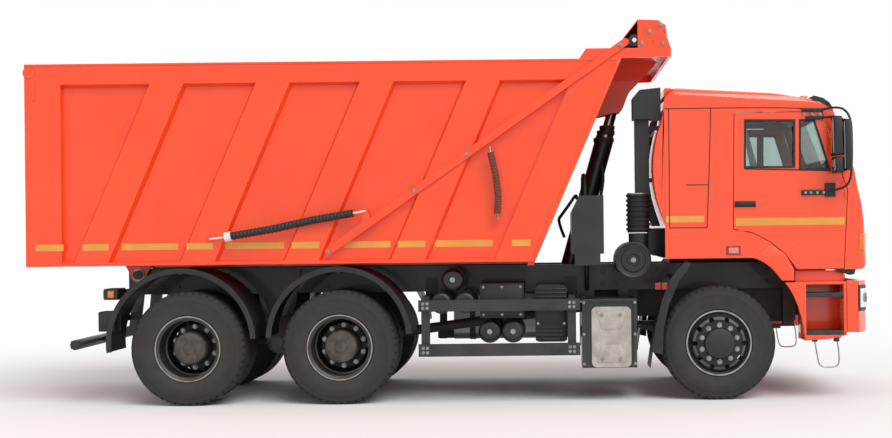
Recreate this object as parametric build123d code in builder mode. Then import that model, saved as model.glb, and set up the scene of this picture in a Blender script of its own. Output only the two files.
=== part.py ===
from build123d import *
import os
from math import atan2, cos, degrees, hypot, radians, sin

os.makedirs("parts", exist_ok=True)

# Driving dimensions in millimetres: +X forward, +Y to the truck's left, +Z up, the ground at Z 0
FRONT_AXLE_X = 2570
MID_AXLE_X = -1030
REAR_AXLE_X = -2470
TYRE_RADIUS = 541
TYRE_WIDTH = 315
AXLE_Z = TYRE_RADIUS
BODY_HALF_WIDTH = 1250
CAB_HALF_WIDTH = 1235
RUNNING_GAP = 6

RIGHT = -1
LEFT = 1
SIDES = {"right": RIGHT, "left": LEFT}


def side_plane(y):
    """Plane of a side view at the given Y: sketches run in X and Z, extrusion goes to the right."""
    return Plane.XZ.offset(-y)


def wall_plane(side, inner, outer):
    """Side-view plane on which an extrusion by outer - inner fills that span of |Y| on one side."""
    return side_plane(outer if side == LEFT else -inner)


def save(part, name):
    """Label a finished piece and write it."""
    part.label = name
    export_step(part, "parts/" + name + ".step")


# Chassis frame: two pressed channel rails joined by box crossmembers and the bed hinge tube
RAIL_OUTER = 430
RAIL_BOTTOM = 1030
RAIL_TOP = 1290
RAIL_FLANGE = 80
RAIL_WEB = 10
RAIL_LIP = 12
FRAME_REAR = -3235
FRAME_FRONT = 3720
BED_HINGE = (-3130, 1230)
BED_HINGE_TUBE_RADIUS = 45
BED_HINGE_TUBE_HALF = 540
HOIST_FOOT = (1100, 1000)
HOIST_FOOT_PIN_RADIUS = 50
HOIST_BEARING_INNER = 160
HOIST_BEARING_OUTER = 240
# the twin-axle springs rock on stub trunnions in brackets under the middle of the bogie
TRUNNION_X = (MID_AXLE_X + REAR_AXLE_X) / 2
TRUNNION_Z = 541
TRUNNION_PLATE = 22
TRUNNION_RADIUS = 62
BOGIE_SPRING_INNER = 458
BOGIE_SPRING_WIDTH = 90
PIN_PLAY = 0.5
REAR_MEMBER_X = FRAME_REAR - 10
REAR_MEMBER_LENGTH = 60
TOW_Z = 1160
TOW_SPACING_Y = 160
TOW_SPACING_Z = 100
TOW_HOLE_RADIUS = 10.5
# crossmember: rear face X, length, bottom Z, height
CROSSMEMBERS = (
    (3600, 90, 1050, 180),
    (HOIST_FOOT[0] + 140, 60, 925, 180),
    (HOIST_FOOT[0] - 260, 60, 925, 180),
    (300, 80, 1080, 150),
    (TRUNNION_X - 160, 320, 1042, 236),
    (REAR_MEMBER_X, REAR_MEMBER_LENGTH, 1050, 220),
)
RAIL_GAP = 2 * (RAIL_OUTER - RAIL_WEB)

with BuildPart() as frame:
    with BuildSketch(Plane.YZ.offset(FRAME_REAR)):
        with BuildLine():
            Polyline(
                (RAIL_OUTER - RAIL_FLANGE, RAIL_BOTTOM),
                (RAIL_OUTER, RAIL_BOTTOM),
                (RAIL_OUTER, RAIL_TOP),
                (RAIL_OUTER - RAIL_FLANGE, RAIL_TOP),
                (RAIL_OUTER - RAIL_FLANGE, RAIL_TOP - RAIL_LIP),
                (RAIL_OUTER - RAIL_WEB, RAIL_TOP - RAIL_LIP),
                (RAIL_OUTER - RAIL_WEB, RAIL_BOTTOM + RAIL_LIP),
                (RAIL_OUTER - RAIL_FLANGE, RAIL_BOTTOM + RAIL_LIP),
                close=True,
            )
        make_face()
    extrude(amount=FRAME_FRONT - FRAME_REAR)
    mirror(about=Plane.XZ)
    for rear_x, length, bottom, height in CROSSMEMBERS:
        with BuildSketch(Plane.YZ.offset(rear_x)):
            with Locations((0, bottom + height / 2)):
                Rectangle(RAIL_GAP, height)
        extrude(amount=length)
    # bolt holes for a tow coupling in the rear crossmember
    with BuildSketch(Plane.YZ.offset(REAR_MEMBER_X - 1)):
        with Locations((0, TOW_Z)):
            with GridLocations(TOW_SPACING_Y, TOW_SPACING_Z, 2, 2):
                Circle(TOW_HOLE_RADIUS)
    extrude(amount=REAR_MEMBER_LENGTH + 2, mode=Mode.SUBTRACT)
    with BuildSketch(side_plane(BED_HINGE_TUBE_HALF)):
        with Locations(BED_HINGE):
            Circle(BED_HINGE_TUBE_RADIUS)
    extrude(amount=2 * BED_HINGE_TUBE_HALF)
    for side in SIDES.values():
        with BuildSketch(wall_plane(side, RAIL_OUTER, RAIL_OUTER + TRUNNION_PLATE)):
            with BuildLine():
                Polyline(
                    (TRUNNION_X - 230, RAIL_TOP - 20),
                    (TRUNNION_X - 110, TRUNNION_Z),
                    (TRUNNION_X + 110, TRUNNION_Z),
                    (TRUNNION_X + 230, RAIL_TOP - 20),
                    close=True,
                )
            make_face()
            with Locations((TRUNNION_X, TRUNNION_Z)):
                Circle(110)
        extrude(amount=TRUNNION_PLATE)
        stub_end = BOGIE_SPRING_INNER + BOGIE_SPRING_WIDTH
        with BuildSketch(wall_plane(side, RAIL_OUTER, stub_end)):
            with Locations((TRUNNION_X, TRUNNION_Z)):
                Circle(TRUNNION_RADIUS)
        extrude(amount=stub_end - RAIL_OUTER)
        # bearings of the hoist's foot
        with BuildSketch(wall_plane(side, HOIST_BEARING_INNER, HOIST_BEARING_OUTER)):
            with Locations((HOIST_FOOT[0], 1015)):
                Rectangle(360, 180)
            with Locations(HOIST_FOOT):
                Circle(HOIST_FOOT_PIN_RADIUS + PIN_PLAY, mode=Mode.SUBTRACT)
        extrude(amount=HOIST_BEARING_OUTER - HOIST_BEARING_INNER)
save(frame.part, "frame")

# Engine and gearbox: one plain block each at their real place, bolted together under the cab
GEARBOX_REAR = 1400
ENGINE_REAR = 2180
ENGINE_FRONT = 3440

with BuildPart() as engine:
    with BuildSketch(Plane.YZ.offset(ENGINE_REAR)):
        with Locations((0, 1115)):
            Rectangle(620, 830)
    extrude(amount=ENGINE_FRONT - ENGINE_REAR)
    with BuildSketch(Plane.YZ.offset(GEARBOX_REAR)):
        with Locations((0, 960)):
            Rectangle(420, 420)
    extrude(amount=ENGINE_REAR - GEARBOX_REAR)
    # radiator ahead of the engine
    with BuildSketch(Plane.YZ.offset(ENGINE_FRONT + 40)):
        with Locations((0, 1110)):
            Rectangle(660, 740)
    extrude(amount=70)
save(engine.part, "engine")

# Front axle: a dropped forged beam with an upright kingpin eye at each end
KINGPIN_Y = 880
KINGPIN_RADIUS = 22
BEAM_Z = 470
BEAM_EYE_RADIUS = 58
BEAM_EYE_HALF_HEIGHT = 68

with BuildPart() as front_axle:
    with BuildSketch(Plane.YZ.offset(FRONT_AXLE_X - 55)):
        with BuildLine():
            Polyline(
                (-KINGPIN_Y, AXLE_Z + 50),
                (-600, BEAM_Z + 55),
                (600, BEAM_Z + 55),
                (KINGPIN_Y, AXLE_Z + 50),
                (KINGPIN_Y, AXLE_Z - 50),
                (600, BEAM_Z - 55),
                (-600, BEAM_Z - 55),
                (-KINGPIN_Y, AXLE_Z - 50),
                close=True,
            )
        make_face()
    extrude(amount=110)
    with BuildSketch(Plane.XY.offset(AXLE_Z - BEAM_EYE_HALF_HEIGHT)):
        with Locations((FRONT_AXLE_X, KINGPIN_Y), (FRONT_AXLE_X, -KINGPIN_Y)):
            Circle(BEAM_EYE_RADIUS)
    extrude(amount=2 * BEAM_EYE_HALF_HEIGHT)
    with BuildSketch(Plane.XY.offset(AXLE_Z - BEAM_EYE_HALF_HEIGHT - 10)):
        with Locations((FRONT_AXLE_X, KINGPIN_Y), (FRONT_AXLE_X, -KINGPIN_Y)):
            Circle(KINGPIN_RADIUS + PIN_PLAY)
    extrude(amount=2 * BEAM_EYE_HALF_HEIGHT + 20, mode=Mode.SUBTRACT)
save(front_axle.part, "front_axle")

# Drive axles: banjo housings with round differential carriers, and the shafts that turn them
HOUSING_RADIUS = 78
SPINDLE_RADIUS = 55
SPINDLE_END = 900
HOUSING_END = 560
CARRIER_RADIUS = 205

with BuildPart() as drive_axles:
    for axle_x in (MID_AXLE_X, REAR_AXLE_X):
        with BuildSketch(side_plane(SPINDLE_END)):
            with Locations((axle_x, AXLE_Z)):
                Circle(SPINDLE_RADIUS)
        extrude(amount=2 * SPINDLE_END)
        with BuildSketch(side_plane(HOUSING_END)):
            with Locations((axle_x, AXLE_Z)):
                Circle(HOUSING_RADIUS)
        extrude(amount=2 * HOUSING_END)
        with BuildSketch(Plane.YZ.offset(axle_x - 130)):
            with Locations((0, AXLE_Z)):
                Circle(CARRIER_RADIUS)
        extrude(amount=300, taper=12)
    with BuildSketch(Plane.YZ.offset(REAR_AXLE_X)):
        with Locations((0, AXLE_Z)):
            Circle(50)
    extrude(amount=MID_AXLE_X - REAR_AXLE_X)
    shaft_start = Vector(MID_AXLE_X, 0, AXLE_Z)
    shaft_end = Vector(GEARBOX_REAR - 12, 0, 850)
    with BuildSketch(Plane(origin=shaft_start, z_dir=shaft_end - shaft_start)):
        Circle(50)
    extrude(amount=(shaft_end - shaft_start).length)
save(drive_axles.part, "drive_axles")

# Leaf springs: stacks of flat steel leaves, each shorter than the last
LEAF = 20
FRONT_SPRING_INNER = 338
FRONT_SPRING_WIDTH = 90
FRONT_SPRING_Z = BEAM_Z + 56
BOGIE_SPRING_Z = AXLE_Z + HOUSING_RADIUS + 3
# leaf number from the main leaf: half length on the front axle, half length on the bogie
LEAVES = ((790, 700), (700, 620), (600, 530), (490, 440), (380, 350), (270, 260), (170, 180))

with BuildPart() as leaf_springs:
    for number, (half_front, half_bogie) in enumerate(LEAVES):
        with BuildSketch(side_plane(FRONT_SPRING_INNER + FRONT_SPRING_WIDTH)):
            with Locations((FRONT_AXLE_X, FRONT_SPRING_Z + LEAF * (len(LEAVES) - number - 0.5))):
                Rectangle(2 * half_front, LEAF)
        extrude(amount=FRONT_SPRING_WIDTH)
    # hangers that carry the main leaf's ends under the rails
    with BuildSketch(side_plane(FRONT_SPRING_INNER + FRONT_SPRING_WIDTH)):
        for sign in (-1, 1):
            with Locations((FRONT_AXLE_X + sign * 780, (FRONT_SPRING_Z + 120 + RAIL_BOTTOM) / 2)):
                Rectangle(110, RAIL_BOTTOM - FRONT_SPRING_Z - 120)
    extrude(amount=FRONT_SPRING_WIDTH)
    for number, (half_front, half_bogie) in enumerate(LEAVES):
        with BuildSketch(side_plane(BOGIE_SPRING_INNER + BOGIE_SPRING_WIDTH)):
            with Locations((TRUNNION_X, BOGIE_SPRING_Z + LEAF * (number + 2.5))):
                Rectangle(2 * half_bogie, LEAF)
        extrude(amount=BOGIE_SPRING_WIDTH)
    with BuildSketch(side_plane(BOGIE_SPRING_INNER + BOGIE_SPRING_WIDTH)):
        for sign in (-1, 1):
            with Locations((TRUNNION_X + sign * 655, BOGIE_SPRING_Z + LEAF)):
                Rectangle(90, 2 * LEAF)
        with Locations((TRUNNION_X, TRUNNION_Z + 60)):
            Rectangle(200, 120)
        with Locations((TRUNNION_X, TRUNNION_Z)):
            Circle(TRUNNION_RADIUS + PIN_PLAY, mode=Mode.SUBTRACT)
    extrude(amount=BOGIE_SPRING_WIDTH)
    mirror(about=Plane.XZ)
save(leaf_springs.part, "leaf_springs")

# Wheels: 22.5 inch disc wheels with 315 mm tyres, single in front and twin on the bogie
FRONT_WHEEL_Y = 1021
TWIN_FACE_Y = 907
RIM_OFFSET = 175
RIM_SEAT_RADIUS = 286
RIM_FLANGE_RADIUS = 312
TYRE_FACETS = 36
# tyre section from the inner bead to the outer one: distance from the middle, radius
TYRE_SECTION = (
    (-126, 313),
    (-157, 405),
    (-152, 470),
    (-128, TYRE_RADIUS),
    (128, TYRE_RADIUS),
    (152, 470),
    (157, 405),
    (126, 313),
)


def tyre(axle_x, y):
    """Tyre with its middle at y, as flat-sided rings of many facets, standing on a flat facet."""
    with BuildPart() as ring:
        for offset, radius in TYRE_SECTION:
            with BuildSketch(side_plane(y - offset)):
                with Locations((axle_x, AXLE_Z)):
                    RegularPolygon(radius, TYRE_FACETS, major_radius=False, rotation=180 / TYRE_FACETS + 90)
        loft(ruled=True)
        with BuildSketch(side_plane(y + TYRE_WIDTH)):
            with Locations((axle_x, AXLE_Z)):
                Circle(RIM_FLANGE_RADIUS + 1)
        extrude(amount=2 * TYRE_WIDTH, mode=Mode.SUBTRACT)
    return ring.part


def barrel(middle):
    """Half section of a rim barrel about the given distance: distance, radius."""
    half = 127
    return (
        (middle - half - 14, RIM_FLANGE_RADIUS),
        (middle - half, RIM_FLANGE_RADIUS),
        (middle - half, RIM_SEAT_RADIUS),
        (middle + half, RIM_SEAT_RADIUS),
        (middle + half, RIM_FLANGE_RADIUS),
        (middle + half + 14, RIM_FLANGE_RADIUS),
        (middle + half + 14, RIM_FLANGE_RADIUS - 14),
        (middle + half, RIM_SEAT_RADIUS - 14),
        (middle - half, RIM_SEAT_RADIUS - 14),
        (middle - half - 14, RIM_FLANGE_RADIUS - 14),
    )


def wheel_solid(axle_x, side, face_y, profiles, bore_radius, bore_depth, hand_holes):
    """Rim, disc and hub turned about the axle; distances run outwards from the mounting face."""
    with BuildPart() as wheel:
        with BuildSketch(Plane.YZ.offset(axle_x)):
            for profile in profiles:
                with BuildLine():
                    Polyline(*[(side * (face_y + d), AXLE_Z + r) for d, r in profile], close=True)
                make_face()
        revolve(axis=Axis((axle_x, 0, AXLE_Z), (0, 1, 0)))
        bore_inner, bore_outer = sorted((side * (face_y - 400), side * (face_y + bore_depth)))
        with BuildSketch(side_plane(bore_outer)):
            with Locations((axle_x, AXLE_Z)):
                Circle(bore_radius)
        extrude(amount=bore_outer - bore_inner, mode=Mode.SUBTRACT)
        hole_radius, hole_circle, hole_from, hole_to = hand_holes
        hole_inner, hole_outer = sorted((side * (face_y + hole_from), side * (face_y + hole_to)))
        with BuildSketch(side_plane(hole_outer)):
            with Locations((axle_x, AXLE_Z)):
                with PolarLocations(hole_circle, 10):
                    Circle(hole_radius)
        extrude(amount=hole_outer - hole_inner, mode=Mode.SUBTRACT)
    return wheel.part


FRONT_FACE_Y = FRONT_WHEEL_Y + RIM_OFFSET
# convex disc and hub of a front wheel: distance outwards from the mounting face, radius
FRONT_DISC = ((-95, 280), (-60, 274), (0, 215), (0, 60), (12, 60), (12, 222), (-50, 284), (-95, 284))
FRONT_HUB = ((-200, 1), (-200, 150), (-60, 150), (-60, 130), (0, 130), (0, 140), (30, 135), (46, 100), (46, 1))
FRONT_HAND_HOLES = (24, 232, -90, 30)
SPINDLE_PLAY = 0.6

for side_name, side in SIDES.items():
    name = "front_" + side_name
    save(tyre(FRONT_AXLE_X, side * FRONT_WHEEL_Y), name + "_tyre")
    front_rim = wheel_solid(
        FRONT_AXLE_X,
        side,
        FRONT_FACE_Y,
        (barrel(-RIM_OFFSET), FRONT_DISC, FRONT_HUB),
        45 + SPINDLE_PLAY,
        -20,
        FRONT_HAND_HOLES,
    )
    save(front_rim, name + "_rim")

# two concave discs back to back, the hub that carries them and the brake drum inside
TWIN_OUTER_DISC = ((0, 60), (0, 222), (70, 284), (110, 284), (110, 280), (78, 274), (12, 215), (12, 60))
TWIN_INNER_DISC = tuple((-d, r) for d, r in TWIN_OUTER_DISC)
TWIN_HUB = ((-230, 1), (-230, 205), (-40, 205), (-40, 140), (70, 140), (90, 112), (215, 104), (235, 84), (235, 1))
TWIN_HAND_HOLES = (24, 232, -80, 80)

for axle_name, axle_x in (("mid", MID_AXLE_X), ("rear", REAR_AXLE_X)):
    for side_name, side in SIDES.items():
        name = axle_name + "_" + side_name
        outer_tyre = tyre(axle_x, side * (TWIN_FACE_Y + RIM_OFFSET))
        inner_tyre = tyre(axle_x, side * (TWIN_FACE_Y - RIM_OFFSET))
        save(Compound([outer_tyre, inner_tyre]), name + "_tyres")
        twin_rims = wheel_solid(
            axle_x,
            side,
            TWIN_FACE_Y,
            (barrel(RIM_OFFSET), barrel(-RIM_OFFSET), TWIN_OUTER_DISC, TWIN_INNER_DISC, TWIN_HUB),
            SPINDLE_RADIUS + SPINDLE_PLAY,
            0,
            TWIN_HAND_HOLES,
        )
        save(twin_rims, name + "_rims")

# Steering knuckles: a fork round the beam's eye, the kingpin, the stub axle and the track arm
ARM_LENGTH = 170
ARM_END_X = FRONT_AXLE_X - ARM_LENGTH
ARM_THICK = 36
ARM_BOTTOM = AXLE_Z - 110
BALL_RADIUS = 28
FORK_GAP = BEAM_EYE_HALF_HEIGHT + RUNNING_GAP

for side_name, side in SIDES.items():
    with BuildPart() as knuckle:
        with BuildSketch(Plane.YZ.offset(FRONT_AXLE_X - 50)):
            with BuildLine():
                Polyline(
                    (side * (KINGPIN_Y - 50), AXLE_Z + FORK_GAP + 40),
                    (side * (KINGPIN_Y + 95), AXLE_Z + FORK_GAP + 40),
                    (side * (KINGPIN_Y + 110), AXLE_Z),
                    (side * (KINGPIN_Y + 95), AXLE_Z - FORK_GAP - 40),
                    (side * (KINGPIN_Y - 50), AXLE_Z - FORK_GAP - 40),
                    (side * (KINGPIN_Y - 50), AXLE_Z - FORK_GAP),
                    (side * (KINGPIN_Y + 68), AXLE_Z - FORK_GAP),
                    (side * (KINGPIN_Y + 68), AXLE_Z + FORK_GAP),
                    (side * (KINGPIN_Y - 50), AXLE_Z + FORK_GAP),
                    close=True,
                )
            make_face()
        extrude(amount=100)
        with BuildSketch(Plane.XY.offset(AXLE_Z - FORK_GAP - 38)):
            with Locations((FRONT_AXLE_X, side * KINGPIN_Y)):
                Circle(KINGPIN_RADIUS)
        extrude(amount=2 * (FORK_GAP + 38))
        stub_inner, stub_outer = sorted((side * (KINGPIN_Y + 80), side * (FRONT_FACE_Y - 40)))
        with BuildSketch(side_plane(stub_outer)):
            with Locations((FRONT_AXLE_X, AXLE_Z)):
                Circle(45)
        extrude(amount=stub_outer - stub_inner)
        # track arm reaching back from the lower ear
        with BuildSketch(Plane.XY.offset(ARM_BOTTOM)):
            with BuildLine():
                Polyline(
                    (FRONT_AXLE_X - 30, side * (KINGPIN_Y - 45)),
                    (FRONT_AXLE_X - 30, side * (KINGPIN_Y + 45)),
                    (ARM_END_X, side * (KINGPIN_Y + BALL_RADIUS)),
                    (ARM_END_X, side * (KINGPIN_Y - BALL_RADIUS)),
                    close=True,
                )
            make_face()
            with Locations((ARM_END_X, side * KINGPIN_Y)):
                Circle(BALL_RADIUS)
        extrude(amount=ARM_THICK)
    save(knuckle.part, "knuckle_" + side_name)

# Track rod between the two arms, its ball ends just under them
TRACK_ROD_RADIUS = 16
BALL_HALF_HEIGHT = 18
TRACK_ROD_Z = ARM_BOTTOM - RUNNING_GAP - BALL_HALF_HEIGHT
with BuildPart() as track_rod:
    with BuildSketch(side_plane(KINGPIN_Y)):
        with Locations((ARM_END_X, TRACK_ROD_Z)):
            Circle(TRACK_ROD_RADIUS)
    extrude(amount=2 * KINGPIN_Y)
    with BuildSketch(Plane.XY.offset(TRACK_ROD_Z - BALL_HALF_HEIGHT)):
        with Locations((ARM_END_X, KINGPIN_Y), (ARM_END_X, -KINGPIN_Y)):
            Circle(BALL_RADIUS)
    extrude(amount=2 * BALL_HALF_HEIGHT)
save(track_rod.part, "track_rod")

# Mudguards: pressed half-round bands over the bogie and a flapped guard behind each front wheel
FENDER_INNER = 600
FENDER_OUTER = 1240
FENDER_SHEET = 6
FENDER_LIP = 50
# fender: centre X, centre Z, outer radius, start angle, end angle
FENDERS = ((MID_AXLE_X - 6, 620, 690, 4, 178), (REAR_AXLE_X - 60, 600, 708, 3, 187))
# outline of the front guard from the top down: X, Z on its rear face
FRONT_GUARD = ((2266, 1326), (2146, 1147), (2035, 922), (1966, 677), (1926, 460), (1905, 319))
FRONT_GUARD_INNER = 850
FRONT_GUARD_OUTER = 1230


def ring_sector(centre_x, centre_z, outer, thick, start, end):
    """Closed outline of an arc band, drawn in the open line builder."""
    inner = outer - thick
    corners = [
        (centre_x + r * cos(radians(a)), centre_z + r * sin(radians(a)))
        for r, a in ((outer, start), (outer, end), (inner, end), (inner, start))
    ]
    CenterArc((centre_x, centre_z), outer, start, end - start)
    CenterArc((centre_x, centre_z), inner, start, end - start)
    Line(corners[1], corners[2])
    Line(corners[3], corners[0])


with BuildPart() as mudguards:
    for centre_x, centre_z, outer_radius, start, end in FENDERS:
        with BuildSketch(side_plane(FENDER_OUTER)):
            with BuildLine():
                ring_sector(centre_x, centre_z, outer_radius, FENDER_SHEET, start, end)
            make_face()
        extrude(amount=FENDER_OUTER - FENDER_INNER)
        with BuildSketch(side_plane(FENDER_OUTER)):
            with BuildLine():
                ring_sector(centre_x, centre_z, outer_radius, FENDER_LIP, start, end)
            make_face()
        extrude(amount=12)
    with BuildSketch(side_plane(FRONT_GUARD_OUTER)):
        with BuildLine():
            Polyline(*FRONT_GUARD, *[(x + 8, z) for x, z in reversed(FRONT_GUARD)], close=True)
        make_face()
    extrude(amount=FRONT_GUARD_OUTER - FRONT_GUARD_INNER)
    mirror(about=Plane.XZ)
    # carrier tubes from the rails to each guard
    for arm_x, arm_z in ((MID_AXLE_X - 6, 1270), (REAR_AXLE_X - 60, 1268), (2170, 1160)):
        with BuildSketch(side_plane(FENDER_OUTER - 20)):
            with Locations((arm_x, arm_z)):
                Circle(24)
        extrude(amount=FENDER_OUTER - 20 - RAIL_OUTER)
        with BuildSketch(side_plane(-RAIL_OUTER)):
            with Locations((arm_x, arm_z)):
                Circle(24)
        extrude(amount=FENDER_OUTER - 20 - RAIL_OUTER)
save(mudguards.part, "mudguards")

# Rear underrun bar, its arms, the lamp bar and the tail lamps
UNDERRUN_X = -3557
UNDERRUN_Z = 586
with BuildPart() as underrun:
    with BuildSketch(side_plane(1150)):
        with Locations((UNDERRUN_X, UNDERRUN_Z)):
            Circle(48)
    extrude(amount=2300)
    for arm_y in (370, -330):
        with BuildSketch(side_plane(arm_y)):
            with BuildLine():
                Polyline(
                    (UNDERRUN_X - 20, UNDERRUN_Z),
                    (UNDERRUN_X + 60, UNDERRUN_Z - 20),
                    (FRAME_REAR + 75, 640),
                    (FRAME_REAR + 125, 1030),
                    (FRAME_REAR + 10, 1030),
                    (FRAME_REAR - 25, 720),
                    close=True,
                )
            make_face()
        extrude(amount=40)
save(underrun.part, "rear_underrun")

LAMP_BAR_X = -3180
with BuildPart() as tail_lamps:
    with BuildSketch(wall_plane(LEFT, RAIL_OUTER, 1230)):
        with Locations((LAMP_BAR_X, 1068)):
            Rectangle(40, 60)
    extrude(amount=1230 - RAIL_OUTER)
    with BuildSketch(wall_plane(LEFT, 960, 1235)):
        with Locations((LAMP_BAR_X - 8, 1068)):
            Rectangle(126, 105)
    extrude(amount=275)
    mirror(about=Plane.XZ)
save(tail_lamps.part, "tail_lamps")

# Side guards: two rails on two posts each side, carried by arms from the frame
GUARD_REAR = -281
GUARD_FRONT = 1250
GUARD_OUTER = 1240
GUARD_RAIL_DEPTH = 40
GUARD_POSTS_X = (-216, 1172)
GUARD_ARM_Z = 926
with BuildPart() as side_guards:
    with BuildSketch(wall_plane(LEFT, GUARD_OUTER - GUARD_RAIL_DEPTH, GUARD_OUTER)):
        for rail_z, rail_height in ((GUARD_ARM_Z, 108), (505, 118)):
            with Locations(((GUARD_REAR + GUARD_FRONT) / 2, rail_z)):
                Rectangle(GUARD_FRONT - GUARD_REAR, rail_height)
    extrude(amount=GUARD_RAIL_DEPTH)
    with BuildSketch(wall_plane(LEFT, GUARD_OUTER - 2 * GUARD_RAIL_DEPTH, GUARD_OUTER - GUARD_RAIL_DEPTH)):
        for post_x in GUARD_POSTS_X:
            with Locations((post_x, 715)):
                Rectangle(80, 540)
    extrude(amount=GUARD_RAIL_DEPTH)
    with BuildSketch(wall_plane(LEFT, RAIL_OUTER, GUARD_OUTER - 2 * GUARD_RAIL_DEPTH)):
        for post_x in GUARD_POSTS_X:
            with Locations((post_x, 1010 - 30)):
                Rectangle(60, 60)
    extrude(amount=GUARD_OUTER - 2 * GUARD_RAIL_DEPTH - RAIL_OUTER)
    with BuildSketch(wall_plane(LEFT, RAIL_OUTER, RAIL_OUTER + 12)):
        for post_x in GUARD_POSTS_X:
            with Locations((post_x, 1060)):
                Rectangle(120, 220)
    extrude(amount=12)
    mirror(about=Plane.XZ)
save(side_guards.part, "side_guards")

# Air tanks for the brakes, lying across behind the right side guard
# tank: X, Z, radius
AIR_TANKS = ((36, 1165, 106), (-78, 945, 106), (150, 945, 106), (386, 665, 110), (610, 665, 110))
AIR_TANK_INNER = 470
AIR_TANK_OUTER = 1060
with BuildPart() as air_tanks:
    with BuildSketch(wall_plane(RIGHT, AIR_TANK_INNER, AIR_TANK_OUTER)):
        for tank_x, tank_z, tank_radius in AIR_TANKS:
            with Locations((tank_x, tank_z)):
                Circle(tank_radius)
    extrude(amount=AIR_TANK_OUTER - AIR_TANK_INNER)
    fillet(air_tanks.edges().filter_by(GeomType.CIRCLE), 40)
    # bearers that hang the tanks from the right rail
    with BuildSketch(wall_plane(RIGHT, RAIL_OUTER, AIR_TANK_INNER + 20)):
        for bearer_x, bearer_z, bearer_width, bearer_height in ((36, 1050, 200, 360), (498, 770, 320, 300)):
            with Locations((bearer_x, bearer_z)):
                Rectangle(bearer_width, bearer_height)
    extrude(amount=AIR_TANK_INNER + 20 - RAIL_OUTER)
save(air_tanks.part, "air_tanks")

# Boxes on the right side: valve box, ribbed container and the battery box with its lid
with BuildPart() as equipment_boxes:
    with BuildSketch(wall_plane(RIGHT, 500, 1080)):
        with Locations((508, 962)):
            Rectangle(420, 330)
    extrude(amount=580)
    with BuildSketch(wall_plane(RIGHT, RAIL_OUTER, 500)):
        with Locations((620, 1080)):
            Rectangle(180, 50)
    extrude(amount=500 - RAIL_OUTER)
    with BuildSketch(wall_plane(RIGHT, 480, 1080)):
        with Locations((977, 834)):
            RectangleRounded(302, 540, 40)
    extrude(amount=600)
    with BuildSketch(wall_plane(RIGHT, RAIL_OUTER, 480)):
        with Locations((977, 1060)):
            Rectangle(240, 60)
    extrude(amount=50)
save(equipment_boxes.part, "equipment_boxes")

BOX_FRONT = 1788
BOX_REAR = 1268
BOX_BOTTOM = 322
BOX_TOP = 974
BOX_INNER = 640
BOX_OUTER = 1200
with BuildPart() as battery_box:
    with BuildSketch(wall_plane(RIGHT, BOX_INNER, BOX_OUTER)):
        with Locations(((BOX_FRONT + BOX_REAR) / 2, (BOX_TOP + BOX_BOTTOM) / 2)):
            Rectangle(BOX_FRONT - BOX_REAR, BOX_TOP - BOX_BOTTOM)
    extrude(amount=BOX_OUTER - BOX_INNER)
    with BuildSketch(wall_plane(RIGHT, RAIL_OUTER, BOX_INNER)):
        with Locations((1360, BOX_TOP - 60), (1700, BOX_TOP - 60)):
            Rectangle(60, 90)
    extrude(amount=BOX_INNER - RAIL_OUTER)
    with BuildSketch(wall_plane(RIGHT, RAIL_OUTER, RAIL_OUTER + 12)):
        with Locations((1360, 1020), (1700, 1020)):
            Rectangle(100, 200)
    extrude(amount=12)
save(battery_box.part, "battery_box")

with BuildPart() as battery_lid:
    with BuildSketch(wall_plane(RIGHT, BOX_OUTER, BOX_OUTER + 35)):
        with Locations((1545, 615)):
            RectangleRounded(374, 572, 50)
    extrude(amount=35)
save(battery_lid.part, "battery_lid")

# Fuel tank and silencer on the left side
with BuildPart() as fuel_tank:
    with BuildSketch(Plane.YZ.offset(-60)):
        with Locations((840, 760)):
            RectangleRounded(620, 560, 90)
    extrude(amount=1130)
    with BuildSketch(Plane.YZ.offset(100)):
        with Locations((490, 960)):
            Rectangle(120, 80)
    extrude(amount=80)
    with BuildSketch(Plane.YZ.offset(860)):
        with Locations((490, 960)):
            Rectangle(120, 80)
    extrude(amount=80)
    with BuildSketch(wall_plane(LEFT, RAIL_OUTER, RAIL_OUTER + 12)):
        with Locations((140, 1060), (900, 1060)):
            Rectangle(80, 280)
    extrude(amount=12)
save(fuel_tank.part, "fuel_tank")

with BuildPart() as silencer:
    with BuildSketch(Plane.YZ.offset(1290)):
        with Locations((840, 700)):
            RectangleRounded(560, 620, 120)
    extrude(amount=480)
    with BuildSketch(Plane.YZ.offset(1400)):
        with Locations((500, 950)):
            Rectangle(140, 80)
    extrude(amount=240)
    with BuildSketch(wall_plane(LEFT, RAIL_OUTER, RAIL_OUTER + 12)):
        with Locations((1520, 1040)):
            Rectangle(240, 260)
    extrude(amount=12)
save(silencer.part, "silencer")

# Hydraulic tank for the hoist, standing on the frame behind the cab
with BuildPart() as oil_tank:
    with BuildSketch(side_plane(-430)):
        with BuildLine():
            Polyline((1180, 1400), (1180, 1800), (1260, 1960), (1490, 1960), (1490, 1400), close=True)
        make_face()
    extrude(amount=620)
    with BuildSketch(side_plane(-430 + 60)):
        with Locations((1335, (1400 + RAIL_TOP) / 2)):
            Rectangle(240, 1400 - RAIL_TOP)
    extrude(amount=620 + 60)
save(oil_tank.part, "hydraulic_tank")

# Air cleaner: a round canister lying across the frame behind the cab
FILTER_X = 1763
FILTER_Z = 1339
FILTER_RADIUS = 170
with BuildPart() as air_filter:
    with BuildSketch(wall_plane(RIGHT, 640, 1150)):
        with Locations((FILTER_X, FILTER_Z)):
            Circle(FILTER_RADIUS)
    extrude(amount=510)
    with BuildSketch(Plane.XY.offset(FILTER_Z + 100)):
        with Locations((1824, -1000)):
            Circle(95)
    extrude(amount=155)
    with BuildSketch(wall_plane(RIGHT, RAIL_OUTER, 700)):
        with Locations((FILTER_X, FILTER_Z - 90)):
            Rectangle(200, 50)
    extrude(amount=700 - RAIL_OUTER)
save(air_filter.part, "air_filter")

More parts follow.
